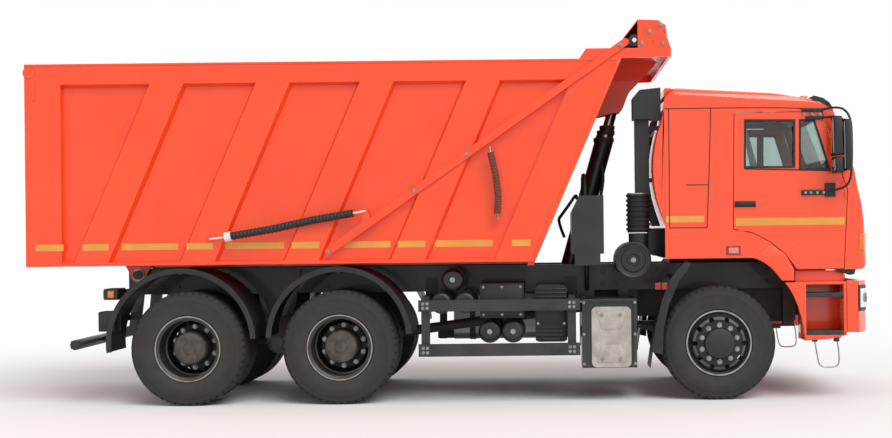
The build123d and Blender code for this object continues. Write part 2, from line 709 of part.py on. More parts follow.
# The cab tilts forward on two pins carried by the bumper's beams
CAB_TILT_AXIS = (3850, 1130)
TILT_PIN_RADIUS = 25
TILT_PIN_INNER = 425
TILT_PIN_OUTER = 520
TILT_EAR_INNER = 455
TILT_EAR = 40

# Front bumper, full width, and the step boxes behind its ends
BUMPER_REAR = 3777
BUMPER_FRONT = 3980
BUMPER_BOTTOM = 636
BUMPER_TOP = 1122
with BuildPart() as bumper:
    with BuildSketch(Plane.XY.offset(BUMPER_BOTTOM)):
        with BuildLine():
            Polyline(
                (BUMPER_REAR, -1240),
                (BUMPER_FRONT - 90, -1240),
                (BUMPER_FRONT, -1080),
                (BUMPER_FRONT, 1080),
                (BUMPER_FRONT - 90, 1240),
                (BUMPER_REAR, 1240),
                (BUMPER_REAR, 1180),
                (BUMPER_FRONT - 120, 1180),
                (BUMPER_FRONT - 60, 1050),
                (BUMPER_FRONT - 60, -1050),
                (BUMPER_FRONT - 120, -1180),
                (BUMPER_REAR, -1180),
                close=True,
            )
        make_face()
    extrude(amount=BUMPER_TOP - BUMPER_BOTTOM)
    # beams that tie the bumper to the frame rails
    with BuildSketch(Plane.YZ.offset(FRAME_FRONT)):
        for beam_y in (-380, 380):
            with Locations((beam_y, 1060)):
                Rectangle(90, 200)
    extrude(amount=BUMPER_FRONT - 60 - FRAME_FRONT)
    for side in SIDES.values():
        with BuildSketch(wall_plane(side, TILT_PIN_INNER, TILT_PIN_OUTER)):
            with Locations(CAB_TILT_AXIS):
                Circle(TILT_PIN_RADIUS)
        extrude(amount=TILT_PIN_OUTER - TILT_PIN_INNER)
save(bumper.part, "bumper")

STEP_REAR = 3361
STEP_FRONT = 3775
STEP_INNER = 930
STEP_OUTER = 1240
STEP_BOTTOM = 555
STEP_TOP = 1112
with BuildPart() as steps:
    with BuildSketch(wall_plane(LEFT, STEP_INNER, STEP_OUTER)):
        with Locations(((STEP_REAR + STEP_FRONT) / 2, (STEP_TOP + STEP_BOTTOM) / 2)):
            Rectangle(STEP_FRONT - STEP_REAR, STEP_TOP - STEP_BOTTOM)
        with Locations(((STEP_REAR + STEP_FRONT) / 2, 1030), ((STEP_REAR + STEP_FRONT) / 2, 780)):
            Rectangle(300, 150, mode=Mode.SUBTRACT)
    extrude(amount=STEP_OUTER - STEP_INNER)
    with BuildSketch(wall_plane(LEFT, RAIL_OUTER, STEP_INNER)):
        with Locations((3660, 1080)):
            Rectangle(80, 60)
    extrude(amount=STEP_INNER - RAIL_OUTER)
    mirror(about=Plane.XZ)
save(steps.part, "steps")

# Cab: shell split where the real panels meet
CAB_WALL = 60
CAB_REAR_X = 2063
# outline of the cab's side view: X, Z
CAB_OUTLINE = (
    (CAB_REAR_X, 1349),
    (CAB_REAR_X, 2900),
    (CAB_REAR_X + 70, 2972),
    (3080, 2915),
    (3474, 2854),
    (3662, 2743),
    (3882, 2102),
    (3962, 1619),
    (3976, 1232),
    (3309, 1232),
    (3203, 1382),
    (3062, 1480),
    (2890, 1349),
)
# inside of the cab: X, Z
CAB_INSIDE = (
    (CAB_REAR_X + CAB_WALL, 1409),
    (CAB_REAR_X + CAB_WALL, 2880),
    (3060, 2855),
    (3440, 2800),
    (3610, 2700),
    (3822, 2090),
    (3900, 1610),
    (3912, 1292),
    (3340, 1292),
    (3235, 1420),
    (3062, 1545),
    (2860, 1409),
)
TUNNEL_TOP = 1605
# engine cover: half width, how far its top is below TUNNEL_TOP, how far it runs below the floor, mode
TUNNEL_STEPS = ((475, 0, 0, Mode.ADD), (445, 30, 200, Mode.SUBTRACT))
ROOF_SEAM_Z = 2775
FRONT_SEAM_X = 3805
DOOR_REAR = 2712
# door outline: X, Z
DOOR_OUTLINE = (
    (DOOR_REAR, 1624),
    (DOOR_REAR + 18, 2722),
    (3556, 2722),
    (3762, 2060),
    (3790, 1980),
    (3750, 1240),
    (3309, 1240),
    (3203, 1382),
    (3062, 1500),
    (2890, 1590),
)
# window outlines in the door: X, Z
MAIN_WINDOW = ((2814, 2199), (2820, 2662), (3306, 2657), (3301, 2194))
QUARTER_WINDOW = ((3334, 2175), (3339, 2657), (3490, 2655), (3637, 2171))


def cab_blank():
    """The closed hollow cab, before its openings and seams."""
    with BuildPart() as blank:
        with BuildSketch(side_plane(CAB_HALF_WIDTH)):
            with BuildLine():
                Polyline(*CAB_OUTLINE, close=True)
            make_face()
        extrude(amount=2 * CAB_HALF_WIDTH)
        with BuildSketch(side_plane(CAB_HALF_WIDTH - CAB_WALL)):
            with BuildLine():
                Polyline(*CAB_INSIDE, close=True)
            make_face()
        extrude(amount=2 * (CAB_HALF_WIDTH - CAB_WALL), mode=Mode.SUBTRACT)
        # engine cover along the middle of the floor, open below and behind
        for half_width, top, low, mode in TUNNEL_STEPS:
            with BuildSketch(side_plane(half_width)):
                with BuildLine():
                    Polyline(
                        (CAB_REAR_X, TUNNEL_TOP - top),
                        (CAB_REAR_X, 1349 - low),
                        (2890, 1349 - low),
                        (3062, 1480 - low),
                        (3203, 1382 - low),
                        (3309, 1232 - low),
                        (3905, 1232 - low),
                        (3905 - top, TUNNEL_TOP - top),
                        close=True,
                    )
                make_face()
            extrude(amount=2 * half_width, mode=mode)
        # door openings, a running gap larger than the doors
        for side in SIDES.values():
            with BuildSketch(wall_plane(side, CAB_HALF_WIDTH - CAB_WALL - 10, CAB_HALF_WIDTH + 10)):
                with BuildLine():
                    Polyline(*DOOR_OUTLINE, close=True)
                make_face()
                offset(amount=RUNNING_GAP + 1, kind=Kind.INTERSECTION)
            extrude(amount=CAB_WALL + 20, mode=Mode.SUBTRACT)
        # windscreen
        with BuildSketch(Plane.YZ.offset(3550)):
            with Locations((0, 2440)):
                Rectangle(2140, 560)
        extrude(amount=500, mode=Mode.SUBTRACT)
        # rear window
        with BuildSketch(Plane.YZ.offset(CAB_REAR_X - 10)):
            with Locations((0, 2420)):
                RectangleRounded(1300, 420, 60)
        extrude(amount=CAB_WALL + 20, mode=Mode.SUBTRACT)
    return blank.part


whole_cab = cab_blank()

with BuildPart() as cab_roof:
    add(whole_cab)
    split(bisect_by=Plane.XY.offset(ROOF_SEAM_Z), keep=Keep.TOP)
save(cab_roof.part, "cab_roof")

with BuildPart() as cab_front:
    add(whole_cab)
    split(bisect_by=Plane.XY.offset(ROOF_SEAM_Z), keep=Keep.BOTTOM)
    split(bisect_by=Plane.YZ.offset(FRONT_SEAM_X), keep=Keep.TOP)
    # ears that ride on the tilt pins
    for side in SIDES.values():
        with BuildSketch(wall_plane(side, TILT_EAR_INNER, TILT_EAR_INNER + TILT_EAR)):
            with BuildLine():
                Polyline(
                    (CAB_TILT_AXIS[0] - 42, 1240),
                    (CAB_TILT_AXIS[0] + 42, 1240),
                    (CAB_TILT_AXIS[0] + 42, CAB_TILT_AXIS[1]),
                    (CAB_TILT_AXIS[0] - 42, CAB_TILT_AXIS[1]),
                    close=True,
                )
            make_face()
            with Locations(CAB_TILT_AXIS):
                Circle(42)
                Circle(TILT_PIN_RADIUS + PIN_PLAY, mode=Mode.SUBTRACT)
        extrude(amount=TILT_EAR)
save(cab_front.part, "cab_front")

with BuildPart() as cab_shell:
    add(whole_cab)
    split(bisect_by=Plane.XY.offset(ROOF_SEAM_Z), keep=Keep.BOTTOM)
    split(bisect_by=Plane.YZ.offset(FRONT_SEAM_X), keep=Keep.BOTTOM)
save(cab_shell.part, "cab_shell")

GLASS = 6
for side_name, side in SIDES.items():
    with BuildPart() as door:
        with BuildSketch(wall_plane(side, CAB_HALF_WIDTH - CAB_WALL, CAB_HALF_WIDTH)):
            with BuildLine():
                Polyline(*DOOR_OUTLINE, close=True)
            make_face()
            for window in (MAIN_WINDOW, QUARTER_WINDOW):
                with BuildLine():
                    Polyline(*window, close=True)
                make_face(mode=Mode.SUBTRACT)
        extrude(amount=CAB_WALL)
    save(door.part, "door_" + side_name)
    with BuildPart() as door_glass:
        with BuildSketch(wall_plane(side, CAB_HALF_WIDTH - 36, CAB_HALF_WIDTH - 30)):
            for window in (MAIN_WINDOW, QUARTER_WINDOW):
                with BuildLine():
                    Polyline(*window, close=True)
                make_face()
        extrude(amount=GLASS)
    save(door_glass.part, "door_glass_" + side_name)

    # mirrors on two arms from the top and the waist of the door
    with BuildPart() as mirrors:
        with BuildSketch(wall_plane(side, CAB_HALF_WIDTH, CAB_HALF_WIDTH + 30)):
            with Locations((3460, 2700)):
                Rectangle(190, 40)
            with Locations((3480, 1960)):
                Rectangle(220, 60)
        extrude(amount=30)
        with BuildSketch(wall_plane(side, CAB_HALF_WIDTH + 30, CAB_HALF_WIDTH + 300)):
            with Locations((3520, 2700), (3560, 1960)):
                Circle(16)
        extrude(amount=270)
        with BuildSketch(Plane.XY.offset(1945)):
            with Locations((3540, side * (CAB_HALF_WIDTH + 270))):
                Circle(16)
        extrude(amount=770)
        with BuildSketch(wall_plane(side, CAB_HALF_WIDTH + 70, CAB_HALF_WIDTH + 280)):
            with Locations((3600, 2440)):
                RectangleRounded(90, 380, 20)
            with Locations((3600, 2130)):
                RectangleRounded(90, 190, 20)
        extrude(amount=210)
    save(mirrors.part, "mirrors_" + side_name)

# Windscreen, following the cab's slanted front
with BuildPart() as cab_glass:
    with BuildSketch(side_plane(1070)):
        with BuildLine():
            Polyline(
                (3837, 2160),
                (3843, 2160),
                (3651, 2720),
                (3645, 2720),
                close=True,
            )
        make_face()
    extrude(amount=2140)
    with BuildSketch(Plane.YZ.offset(CAB_REAR_X + 25)):
        with Locations((0, 2420)):
            RectangleRounded(1300, 420, 60)
    extrude(amount=GLASS)
save(cab_glass.part, "cab_glass")

# Cab interior: two seats, dashboard and steering wheel on its column
with BuildPart() as cab_interior:
    for seat_y in (-750, 750):
        with BuildSketch(side_plane(seat_y + 250)):
            with BuildLine():
                Polyline(
                    (2640, 1700),
                    (3120, 1700),
                    (3120, 1830),
                    (2760, 1830),
                    (2640, 2480),
                    (2520, 2480),
                    (2580, 1760),
                    close=True,
                )
            make_face()
        extrude(amount=500)
        with BuildSketch(Plane.XY.offset(1409)):
            with Locations((2740, seat_y)):
                Rectangle(220, 300)
        extrude(amount=1700 - 1409)
    with BuildSketch(side_plane(CAB_HALF_WIDTH - CAB_WALL - 5)):
        with BuildLine():
            Polyline((3480, 1760), (3480, 2020), (3560, 2100), (3800, 2100), (3840, 1800), close=True)
        make_face()
    extrude(amount=2 * (CAB_HALF_WIDTH - CAB_WALL - 5))
    column_top = Vector(3330, 750, 2110)
    column_dir = Vector(-0.42, 0, 0.91)
    with BuildSketch(Plane(origin=column_top, z_dir=column_dir)):
        Circle(230)
        Circle(200, mode=Mode.SUBTRACT)
        Rectangle(420, 40)
        Circle(60)
    extrude(amount=26)
    with BuildSketch(Plane(origin=column_top, z_dir=-column_dir)):
        Circle(36)
    extrude(amount=330)
save(cab_interior.part, "cab_interior")

# Air intake stack behind the cab: louvred head, pipe and rubber bellows
STACK_Y = -1000
with BuildPart() as intake_stack:
    with BuildSketch(side_plane(STACK_Y + 130)):
        with BuildLine():
            Polyline((1776, 2680), (1776, 2886), (1841, 2960), (2041, 2980), (2041, 2680), close=True)
        make_face()
    extrude(amount=260)
    with BuildSketch(side_plane(STACK_Y + 70)):
        with BuildLine():
            Polyline((1796, 1965), (1796, 2680), (1930, 2680), (1930, 1965), close=True)
        make_face()
    extrude(amount=140)
    # brackets to the cab's rear wall
    with BuildSketch(side_plane(STACK_Y + 20)):
        with Locations(((1930 + CAB_REAR_X) / 2, 2600), ((1930 + CAB_REAR_X) / 2, 2100)):
            Rectangle(CAB_REAR_X - 1930, 40)
    extrude(amount=40)
save(intake_stack.part, "intake_stack")

with BuildPart() as bellows:
    with BuildSketch(Plane.XY.offset(1600)):
        with Locations((1824, STACK_Y)):
            Circle(105)
    extrude(amount=365)
save(bellows.part, "intake_bellows")

# Load bed: floor with its sills, two side walls, slanted front wall with visor, and tailgate
BED_REAR = -3980
BED_FLOOR_REAR = -3894
BED_BOTTOM = 1335
BED_TOP = 3250
BED_FRONT_BOTTOM = 829
BED_SLANT = 844 / 1929
BED_FLOOR_TOP = 1460
FLOOR_SHEET = 12
SIDE_SHEET = 20
SIDE_INNER = 1170
HINGE_EAR_INNER = 445
HINGE_EAR = 40


def front_edge(z, set_back=0):
    """X of the bed's slanted front face at a height."""
    return BED_FRONT_BOTTOM + (z - BED_BOTTOM) * BED_SLANT - set_back


SILL_INNER = 345
SILL_OUTER = 425
SILL_BOTTOM = RAIL_TOP + RUNNING_GAP + 4
WALL_FRONT = 60
with BuildPart() as bed_floor:
    with BuildSketch(side_plane(SIDE_INNER)):
        with BuildLine():
            Polyline(
                (BED_FLOOR_REAR, BED_FLOOR_TOP - FLOOR_SHEET),
                (BED_FLOOR_REAR, BED_FLOOR_TOP),
                (front_edge(BED_FLOOR_TOP, WALL_FRONT), BED_FLOOR_TOP),
                (front_edge(BED_FLOOR_TOP - FLOOR_SHEET, WALL_FRONT), BED_FLOOR_TOP - FLOOR_SHEET),
                close=True,
            )
        make_face()
    extrude(amount=2 * SIDE_INNER)
    for cross_x in [BED_FLOOR_REAR + 60 + 460 * i for i in range(10)]:
        with BuildSketch(Plane.YZ.offset(cross_x)):
            with Locations((0, (1370 + BED_FLOOR_TOP - FLOOR_SHEET) / 2)):
                Rectangle(2 * SIDE_INNER, BED_FLOOR_TOP - FLOOR_SHEET - 1370)
        extrude(amount=60)
    # the sills end ahead of the hinge, so that they clear the rails when the bed tips
    with BuildSketch(Plane.YZ.offset(BED_HINGE[0] + 45)):
        for sill_y in ((SILL_INNER + SILL_OUTER) / 2, -(SILL_INNER + SILL_OUTER) / 2):
            with Locations((sill_y, (SILL_BOTTOM + BED_FLOOR_TOP - FLOOR_SHEET) / 2)):
                Rectangle(SILL_OUTER - SILL_INNER, BED_FLOOR_TOP - FLOOR_SHEET - SILL_BOTTOM)
    extrude(amount=front_edge(SILL_BOTTOM, WALL_FRONT) - BED_HINGE[0] - 45)
    # hinge ears that hang beside the rails and ride on the cross tube
    with BuildSketch(side_plane(HINGE_EAR_INNER + HINGE_EAR)):
        with BuildLine():
            Polyline(
                (BED_HINGE[0] - 200, BED_FLOOR_TOP - FLOOR_SHEET),
                (BED_HINGE[0] + 200, BED_FLOOR_TOP - FLOOR_SHEET),
                (BED_HINGE[0] + 80, BED_HINGE[1]),
                (BED_HINGE[0] - 80, BED_HINGE[1]),
                close=True,
            )
        make_face()
        with Locations(BED_HINGE):
            Circle(80)
            Circle(BED_HINGE_TUBE_RADIUS + PIN_PLAY, mode=Mode.SUBTRACT)
    extrude(amount=HINGE_EAR)
    with BuildSketch(side_plane(-HINGE_EAR_INNER)):
        with BuildLine():
            Polyline(
                (BED_HINGE[0] - 200, BED_FLOOR_TOP - FLOOR_SHEET),
                (BED_HINGE[0] + 200, BED_FLOOR_TOP - FLOOR_SHEET),
                (BED_HINGE[0] + 80, BED_HINGE[1]),
                (BED_HINGE[0] - 80, BED_HINGE[1]),
                close=True,
            )
        make_face()
        with Locations(BED_HINGE):
            Circle(80)
            Circle(BED_HINGE_TUBE_RADIUS + PIN_PLAY, mode=Mode.SUBTRACT)
    extrude(amount=HINGE_EAR)
save(bed_floor.part, "bed_floor")

GATE_HINGE = (-3935, 3170)
GATE_PIN_RADIUS = 25
RIB_WIDTH = 320
RIB_SLANT = 0.4315
# front edge of each slanted rib at the height RIB_REF_Z
RIB_REF_Z = 3017
RIB_FRONT_EDGES = (-2493, -1488, -505, 501)
RAIL_DEPTH = 195
REAR_POST = 340
FRONT_POST = 390

for side_name, side in SIDES.items():
    with BuildPart() as bed_side:
        with BuildSketch(wall_plane(side, SIDE_INNER, SIDE_INNER + SIDE_SHEET)):
            with BuildLine():
                Polyline(
                    (BED_REAR, BED_BOTTOM),
                    (BED_REAR, BED_TOP),
                    (front_edge(BED_TOP), BED_TOP),
                    (front_edge(BED_BOTTOM), BED_BOTTOM),
                    close=True,
                )
            make_face()
        extrude(amount=SIDE_SHEET)
        with BuildSketch(wall_plane(side, SIDE_INNER + SIDE_SHEET, BODY_HALF_WIDTH)):
            with BuildLine():
                Polyline(
                    (BED_REAR, BED_TOP - RAIL_DEPTH),
                    (BED_REAR, BED_TOP),
                    (front_edge(BED_TOP), BED_TOP),
                    (front_edge(BED_TOP - RAIL_DEPTH), BED_TOP - RAIL_DEPTH),
                    close=True,
                )
            make_face()
            with BuildLine():
                Polyline(
                    (BED_REAR, BED_BOTTOM),
                    (BED_REAR, BED_TOP),
                    (BED_REAR + REAR_POST, BED_TOP),
                    (BED_REAR + REAR_POST, BED_BOTTOM),
                    close=True,
                )
            make_face()
            with BuildLine():
                Polyline(
                    (front_edge(BED_BOTTOM), BED_BOTTOM),
                    (front_edge(BED_TOP), BED_TOP),
                    (front_edge(BED_TOP, FRONT_POST), BED_TOP),
                    (front_edge(BED_BOTTOM, FRONT_POST), BED_BOTTOM),
                    close=True,
                )
            make_face()
            for edge_x in RIB_FRONT_EDGES:
                rib_foot = edge_x - (RIB_REF_Z - BED_BOTTOM) * RIB_SLANT
                rib_head = edge_x + (BED_TOP - 20 - RIB_REF_Z) * RIB_SLANT
                with BuildLine():
                    Polyline(
                        (rib_foot, BED_BOTTOM),
                        (rib_head, BED_TOP - 20),
                        (rib_head - RIB_WIDTH, BED_TOP - 20),
                        (rib_foot - RIB_WIDTH, BED_BOTTOM),
                        close=True,
                    )
                make_face()
        extrude(amount=BODY_HALF_WIDTH - SIDE_INNER - SIDE_SHEET)
        with BuildSketch(wall_plane(side, SIDE_INNER - 5, SIDE_INNER + 65)):
            with Locations(GATE_HINGE):
                Circle(GATE_PIN_RADIUS + PIN_PLAY)
        extrude(amount=70, mode=Mode.SUBTRACT)
    save(bed_side.part, "bed_side_" + side_name)

HOIST_EYE = (1645, 2910)
VISOR_FRONT = 2136
VISOR_TOP = 3345
VISOR_BOTTOM = 3262
EAR_INNER = 100
EAR_PLATE = 30
with BuildPart() as bed_front:
    with BuildSketch(side_plane(SIDE_INNER)):
        with BuildLine():
            Polyline(
                (front_edge(SILL_BOTTOM), SILL_BOTTOM),
                (front_edge(BED_TOP), BED_TOP),
                (front_edge(BED_TOP, WALL_FRONT), BED_TOP),
                (front_edge(SILL_BOTTOM, WALL_FRONT), SILL_BOTTOM),
                close=True,
            )
        make_face()
    extrude(amount=2 * SIDE_INNER)
save(bed_front.part, "bed_front")

with BuildPart() as visor:
    with BuildSketch(side_plane(BODY_HALF_WIDTH)):
        with BuildLine():
            Polyline(
                (1266, BED_TOP),
                (1333, VISOR_TOP),
                (VISOR_FRONT, VISOR_TOP),
                (VISOR_FRONT, VISOR_TOP - 14),
                (1400, VISOR_TOP - 14),
                (1400, BED_TOP),
                close=True,
            )
        make_face()
    extrude(amount=2 * BODY_HALF_WIDTH)
    with BuildSketch(side_plane(BODY_HALF_WIDTH)):
        with BuildLine():
            Polyline(
                (1266, BED_TOP), (1333, VISOR_TOP), (VISOR_FRONT, VISOR_TOP), (VISOR_FRONT, VISOR_BOTTOM), (1700, BED_TOP), close=True
            )
        make_face()
    extrude(amount=30)
    mirror(about=Plane.XZ)
    with BuildSketch(side_plane(BODY_HALF_WIDTH)):
        with Locations((VISOR_FRONT - 15, (VISOR_TOP + VISOR_BOTTOM) / 2)):
            Rectangle(30, VISOR_TOP - VISOR_BOTTOM)
    extrude(amount=2 * BODY_HALF_WIDTH)
    # ears for the hoist's upper pin
    for ear_y in (EAR_INNER + EAR_PLATE, -EAR_INNER):
        with BuildSketch(side_plane(ear_y)):
            with BuildLine():
                Polyline(
                    (front_edge(2850) + 2, 2850),
                    (front_edge(BED_TOP) + 2, BED_TOP),
                    (front_edge(BED_TOP) + 2, VISOR_TOP - 10),
                    (2080, VISOR_TOP - 10),
                    (1800, 3050),
                    (HOIST_EYE[0] + 70, HOIST_EYE[1] - 10),
                    (HOIST_EYE[0] + 20, HOIST_EYE[1] - 70),
                    close=True,
                )
            make_face()
            with Locations(HOIST_EYE):
                Circle(32, mode=Mode.SUBTRACT)
        extrude(amount=EAR_PLATE)
save(visor.part, "visor")

# Roller housing of the tarpaulin along the front of the visor
with BuildPart() as tarp_box:
    with BuildSketch(side_plane(BODY_HALF_WIDTH)):
        with BuildLine():
            Polyline((1817, VISOR_TOP), (1817, 3617), (2060, 3590), (2110, 3440), (2110, VISOR_TOP), close=True)
        make_face()
    extrude(amount=2 * BODY_HALF_WIDTH)
save(tarp_box.part, "tarp_roller_box")

# Bow of the tarpaulin: a flat bar on each side, joined by a cross tube over the bed's front
BOW_PIVOT = (-1113, 1453)
BOW_TIP = (1702, 3400)
BOW_BAR = 70
BOW_THICK = 12
BOW_OUTER = 1275
bow_angle = degrees(atan2(BOW_TIP[1] - BOW_PIVOT[1], BOW_TIP[0] - BOW_PIVOT[0]))
bow_length = hypot(BOW_TIP[1] - BOW_PIVOT[1], BOW_TIP[0] - BOW_PIVOT[0])
with BuildPart() as tarp_bow:
    for side in SIDES.values():
        with BuildSketch(wall_plane(side, BOW_OUTER - BOW_THICK, BOW_OUTER)):
            with Locations(((BOW_PIVOT[0] + BOW_TIP[0]) / 2, (BOW_PIVOT[1] + BOW_TIP[1]) / 2)):
                SlotOverall(bow_length + BOW_BAR, BOW_BAR, rotation=bow_angle)
        extrude(amount=BOW_THICK)
        with BuildSketch(wall_plane(side, BODY_HALF_WIDTH, BOW_OUTER - BOW_THICK)):
            with Locations(BOW_PIVOT):
                Circle(30)
        extrude(amount=BOW_OUTER - BOW_THICK - BODY_HALF_WIDTH)
    with BuildSketch(side_plane(BOW_OUTER - BOW_THICK)):
        with Locations(BOW_TIP):
            Circle(24)
    extrude(amount=2 * (BOW_OUTER - BOW_THICK))
save(tarp_bow.part, "tarp_bow")

# Tailgate between the side walls, hung on pins near the top of the rear posts
GATE_FRONT = BED_FLOOR_REAR - RUNNING_GAP
GATE_THICK = 70
GATE_BOTTOM = 1345
GATE_TOP = 3040
GATE_HALF = SIDE_INNER - RUNNING_GAP
GATE_ARM = 60
with BuildPart() as tailgate:
    with BuildSketch(side_plane(GATE_HALF)):
        with Locations((GATE_FRONT - GATE_THICK / 2, (GATE_TOP + GATE_BOTTOM) / 2)):
            Rectangle(GATE_THICK, GATE_TOP - GATE_BOTTOM)
    extrude(amount=2 * GATE_HALF)
    for side in SIDES.values():
        with BuildSketch(wall_plane(side, GATE_HALF - GATE_ARM, GATE_HALF)):
            with Locations((GATE_HINGE[0], (GATE_HINGE[1] + GATE_TOP) / 2 - 10)):
                Rectangle(GATE_THICK, GATE_HINGE[1] - GATE_TOP + 20)
            with Locations(GATE_HINGE):
                Circle(GATE_THICK / 2)
        extrude(amount=GATE_ARM)
        with BuildSketch(wall_plane(side, GATE_HALF, GATE_HALF + 60)):
            with Locations(GATE_HINGE):
                Circle(GATE_PIN_RADIUS)
        extrude(amount=60)
save(tailgate.part, "tailgate")

# Hoist: a telescopic front-mounted cylinder, its barrel in trunnions on the frame
hoist_length = hypot(HOIST_EYE[0] - HOIST_FOOT[0], HOIST_EYE[1] - HOIST_FOOT[1])
hoist_dir = Vector(HOIST_EYE[0] - HOIST_FOOT[0], 0, HOIST_EYE[1] - HOIST_FOOT[1]).normalized()


def hoist_plane(distance):
    """Plane across the cylinder at a distance up from its foot pivot."""
    origin = Vector(HOIST_FOOT[0], 0, HOIST_FOOT[1]) + hoist_dir * distance
    return Plane(origin=origin, x_dir=(0, 1, 0), z_dir=hoist_dir)


STAGE_GAP = 0.6
# stage: name, outer radius, bore radius, start, end, measured up from the foot pivot
BARREL_BORE = 82
HOIST_STAGES = (
    ("hoist_barrel", 95, BARREL_BORE, 90, 1640),
    ("hoist_stage_one", BARREL_BORE - STAGE_GAP, 68, 130, 1690),
    ("hoist_stage_two", 68 - STAGE_GAP, 54, 150, 1740),
    ("hoist_stage_three", 54 - STAGE_GAP, 0, 170, hoist_length - 60),
)
for stage_name, outer, bore, start, end in HOIST_STAGES:
    with BuildPart() as stage:
        with BuildSketch(hoist_plane(start)):
            Circle(outer)
            if bore:
                Circle(bore, mode=Mode.SUBTRACT)
        extrude(amount=end - start)
        if stage_name == "hoist_barrel":
            with BuildSketch(hoist_plane(40)):
                Circle(outer)
            extrude(amount=50)
            with BuildSketch(side_plane(HOIST_BEARING_OUTER)):
                with Locations(HOIST_FOOT):
                    Circle(HOIST_FOOT_PIN_RADIUS)
            extrude(amount=2 * HOIST_BEARING_OUTER)
            with BuildSketch(side_plane(HOIST_BEARING_INNER - RUNNING_GAP)):
                with Locations(HOIST_FOOT):
                    Circle(75)
            extrude(amount=2 * (HOIST_BEARING_INNER - RUNNING_GAP))
        if stage_name == "hoist_stage_three":
            with BuildSketch(side_plane(85)):
                with Locations(HOIST_EYE):
                    Circle(75)
                    Circle(32, mode=Mode.SUBTRACT)
            extrude(amount=170)
    save(stage.part, stage_name)
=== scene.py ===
from math import atan2, cos, pi, radians, sin

import bpy
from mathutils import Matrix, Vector


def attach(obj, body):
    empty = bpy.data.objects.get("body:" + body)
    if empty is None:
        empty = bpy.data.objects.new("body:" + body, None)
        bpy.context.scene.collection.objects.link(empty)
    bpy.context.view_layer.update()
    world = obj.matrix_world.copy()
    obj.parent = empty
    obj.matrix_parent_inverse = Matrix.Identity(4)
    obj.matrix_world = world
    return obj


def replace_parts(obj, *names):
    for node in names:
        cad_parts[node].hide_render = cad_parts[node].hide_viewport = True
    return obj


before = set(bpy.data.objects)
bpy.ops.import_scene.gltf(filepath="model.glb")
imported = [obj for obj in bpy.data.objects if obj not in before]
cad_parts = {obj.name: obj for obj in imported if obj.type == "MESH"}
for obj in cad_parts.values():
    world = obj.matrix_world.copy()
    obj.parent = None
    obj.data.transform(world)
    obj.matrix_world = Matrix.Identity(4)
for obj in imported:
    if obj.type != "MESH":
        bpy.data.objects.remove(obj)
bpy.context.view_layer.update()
bpy.ops.object.select_all(action="DESELECT")

# Camera, floor and light.
# The truck stands on a plain pale studio floor, seen square on from its right side, from 15 m away
# and a little above axle height. The photographer's camera leaned very slightly, so the ground rises.
CAMERA_PLACE = (0.974, -15.25, 1.633)
CAMERA_LEAN = radians(0.62)
LENS_MM = 59.8
PHOTO_SIZE = (892, 438)
EYE_PIXEL = (550, 230)
FLOOR_SIZE = 400.0
FLOOR_FADE = (6.0, 11.0)
LIGHT_LEVEL = 0.66
SUN_STRENGTH = 1.85
SUN_TURN = (radians(46), 0, radians(28))
SUN_SOFTNESS = radians(40)

scene = bpy.context.scene
scene.view_settings.view_transform = "Standard"

camera_data = bpy.data.cameras.new("camera")
camera_data.lens = LENS_MM
camera_data.shift_x = (PHOTO_SIZE[0] / 2 - EYE_PIXEL[0]) / PHOTO_SIZE[0]
camera_data.shift_y = (EYE_PIXEL[1] - PHOTO_SIZE[1] / 2) / PHOTO_SIZE[0]
camera = bpy.data.objects.new("camera", camera_data)
camera.location = CAMERA_PLACE
camera.rotation_euler = (pi / 2, CAMERA_LEAN, 0)
scene.collection.objects.link(camera)
scene.camera = camera


def node(tree, kind, inputs=(), **settings):
    """Adds a shader node, sets its properties, and fills its inputs with values or other outputs."""
    made = tree.nodes.new("ShaderNode" + kind)
    for name, value in settings.items():
        setattr(made, name, value)
    for socket, value in dict(inputs).items():
        if isinstance(value, bpy.types.NodeSocket):
            tree.links.new(value, made.inputs[socket])
        else:
            made.inputs[socket].default_value = value
    return made


def bare_material(name):
    """A material whose shader tree is still empty, and that tree."""
    made = bpy.data.materials.new(name)
    made.use_nodes = True
    made.node_tree.nodes.clear()
    return made, made.node_tree


def pale_for_the_eye(tree):
    """1 for rays that see the backdrop directly, in a gloss or through glass, and 0 for its light."""
    rays = node(tree, "LightPath")
    seen = node(tree, "Math", {0: rays.outputs["Is Camera Ray"], 1: rays.outputs["Is Glossy Ray"]})
    return node(tree, "Math", {0: seen.outputs[0], 1: rays.outputs["Is Transmission Ray"]}, use_clamp=True)


world = bpy.data.worlds.new("studio_air")
world.use_nodes = True
world.node_tree.nodes.clear()
dim_air = node(world.node_tree, "Background", {"Color": (1, 1, 1, 1), "Strength": LIGHT_LEVEL})
pale_air = node(world.node_tree, "Background", {"Color": (1, 1, 1, 1), "Strength": 1.0})
air = node(world.node_tree, "MixShader", {0: pale_for_the_eye(world.node_tree).outputs[0],
                                          1: dim_air.outputs[0], 2: pale_air.outputs[0]})
node(world.node_tree, "OutputWorld", {"Surface": air.outputs[0]})
scene.world = world

sun_data = bpy.data.lights.new("soft_key_light", "SUN")
sun_data.energy = SUN_STRENGTH
sun_data.angle = SUN_SOFTNESS
sun = bpy.data.objects.new("soft_key_light", sun_data)
sun.rotation_euler = SUN_TURN
scene.collection.objects.link(sun)

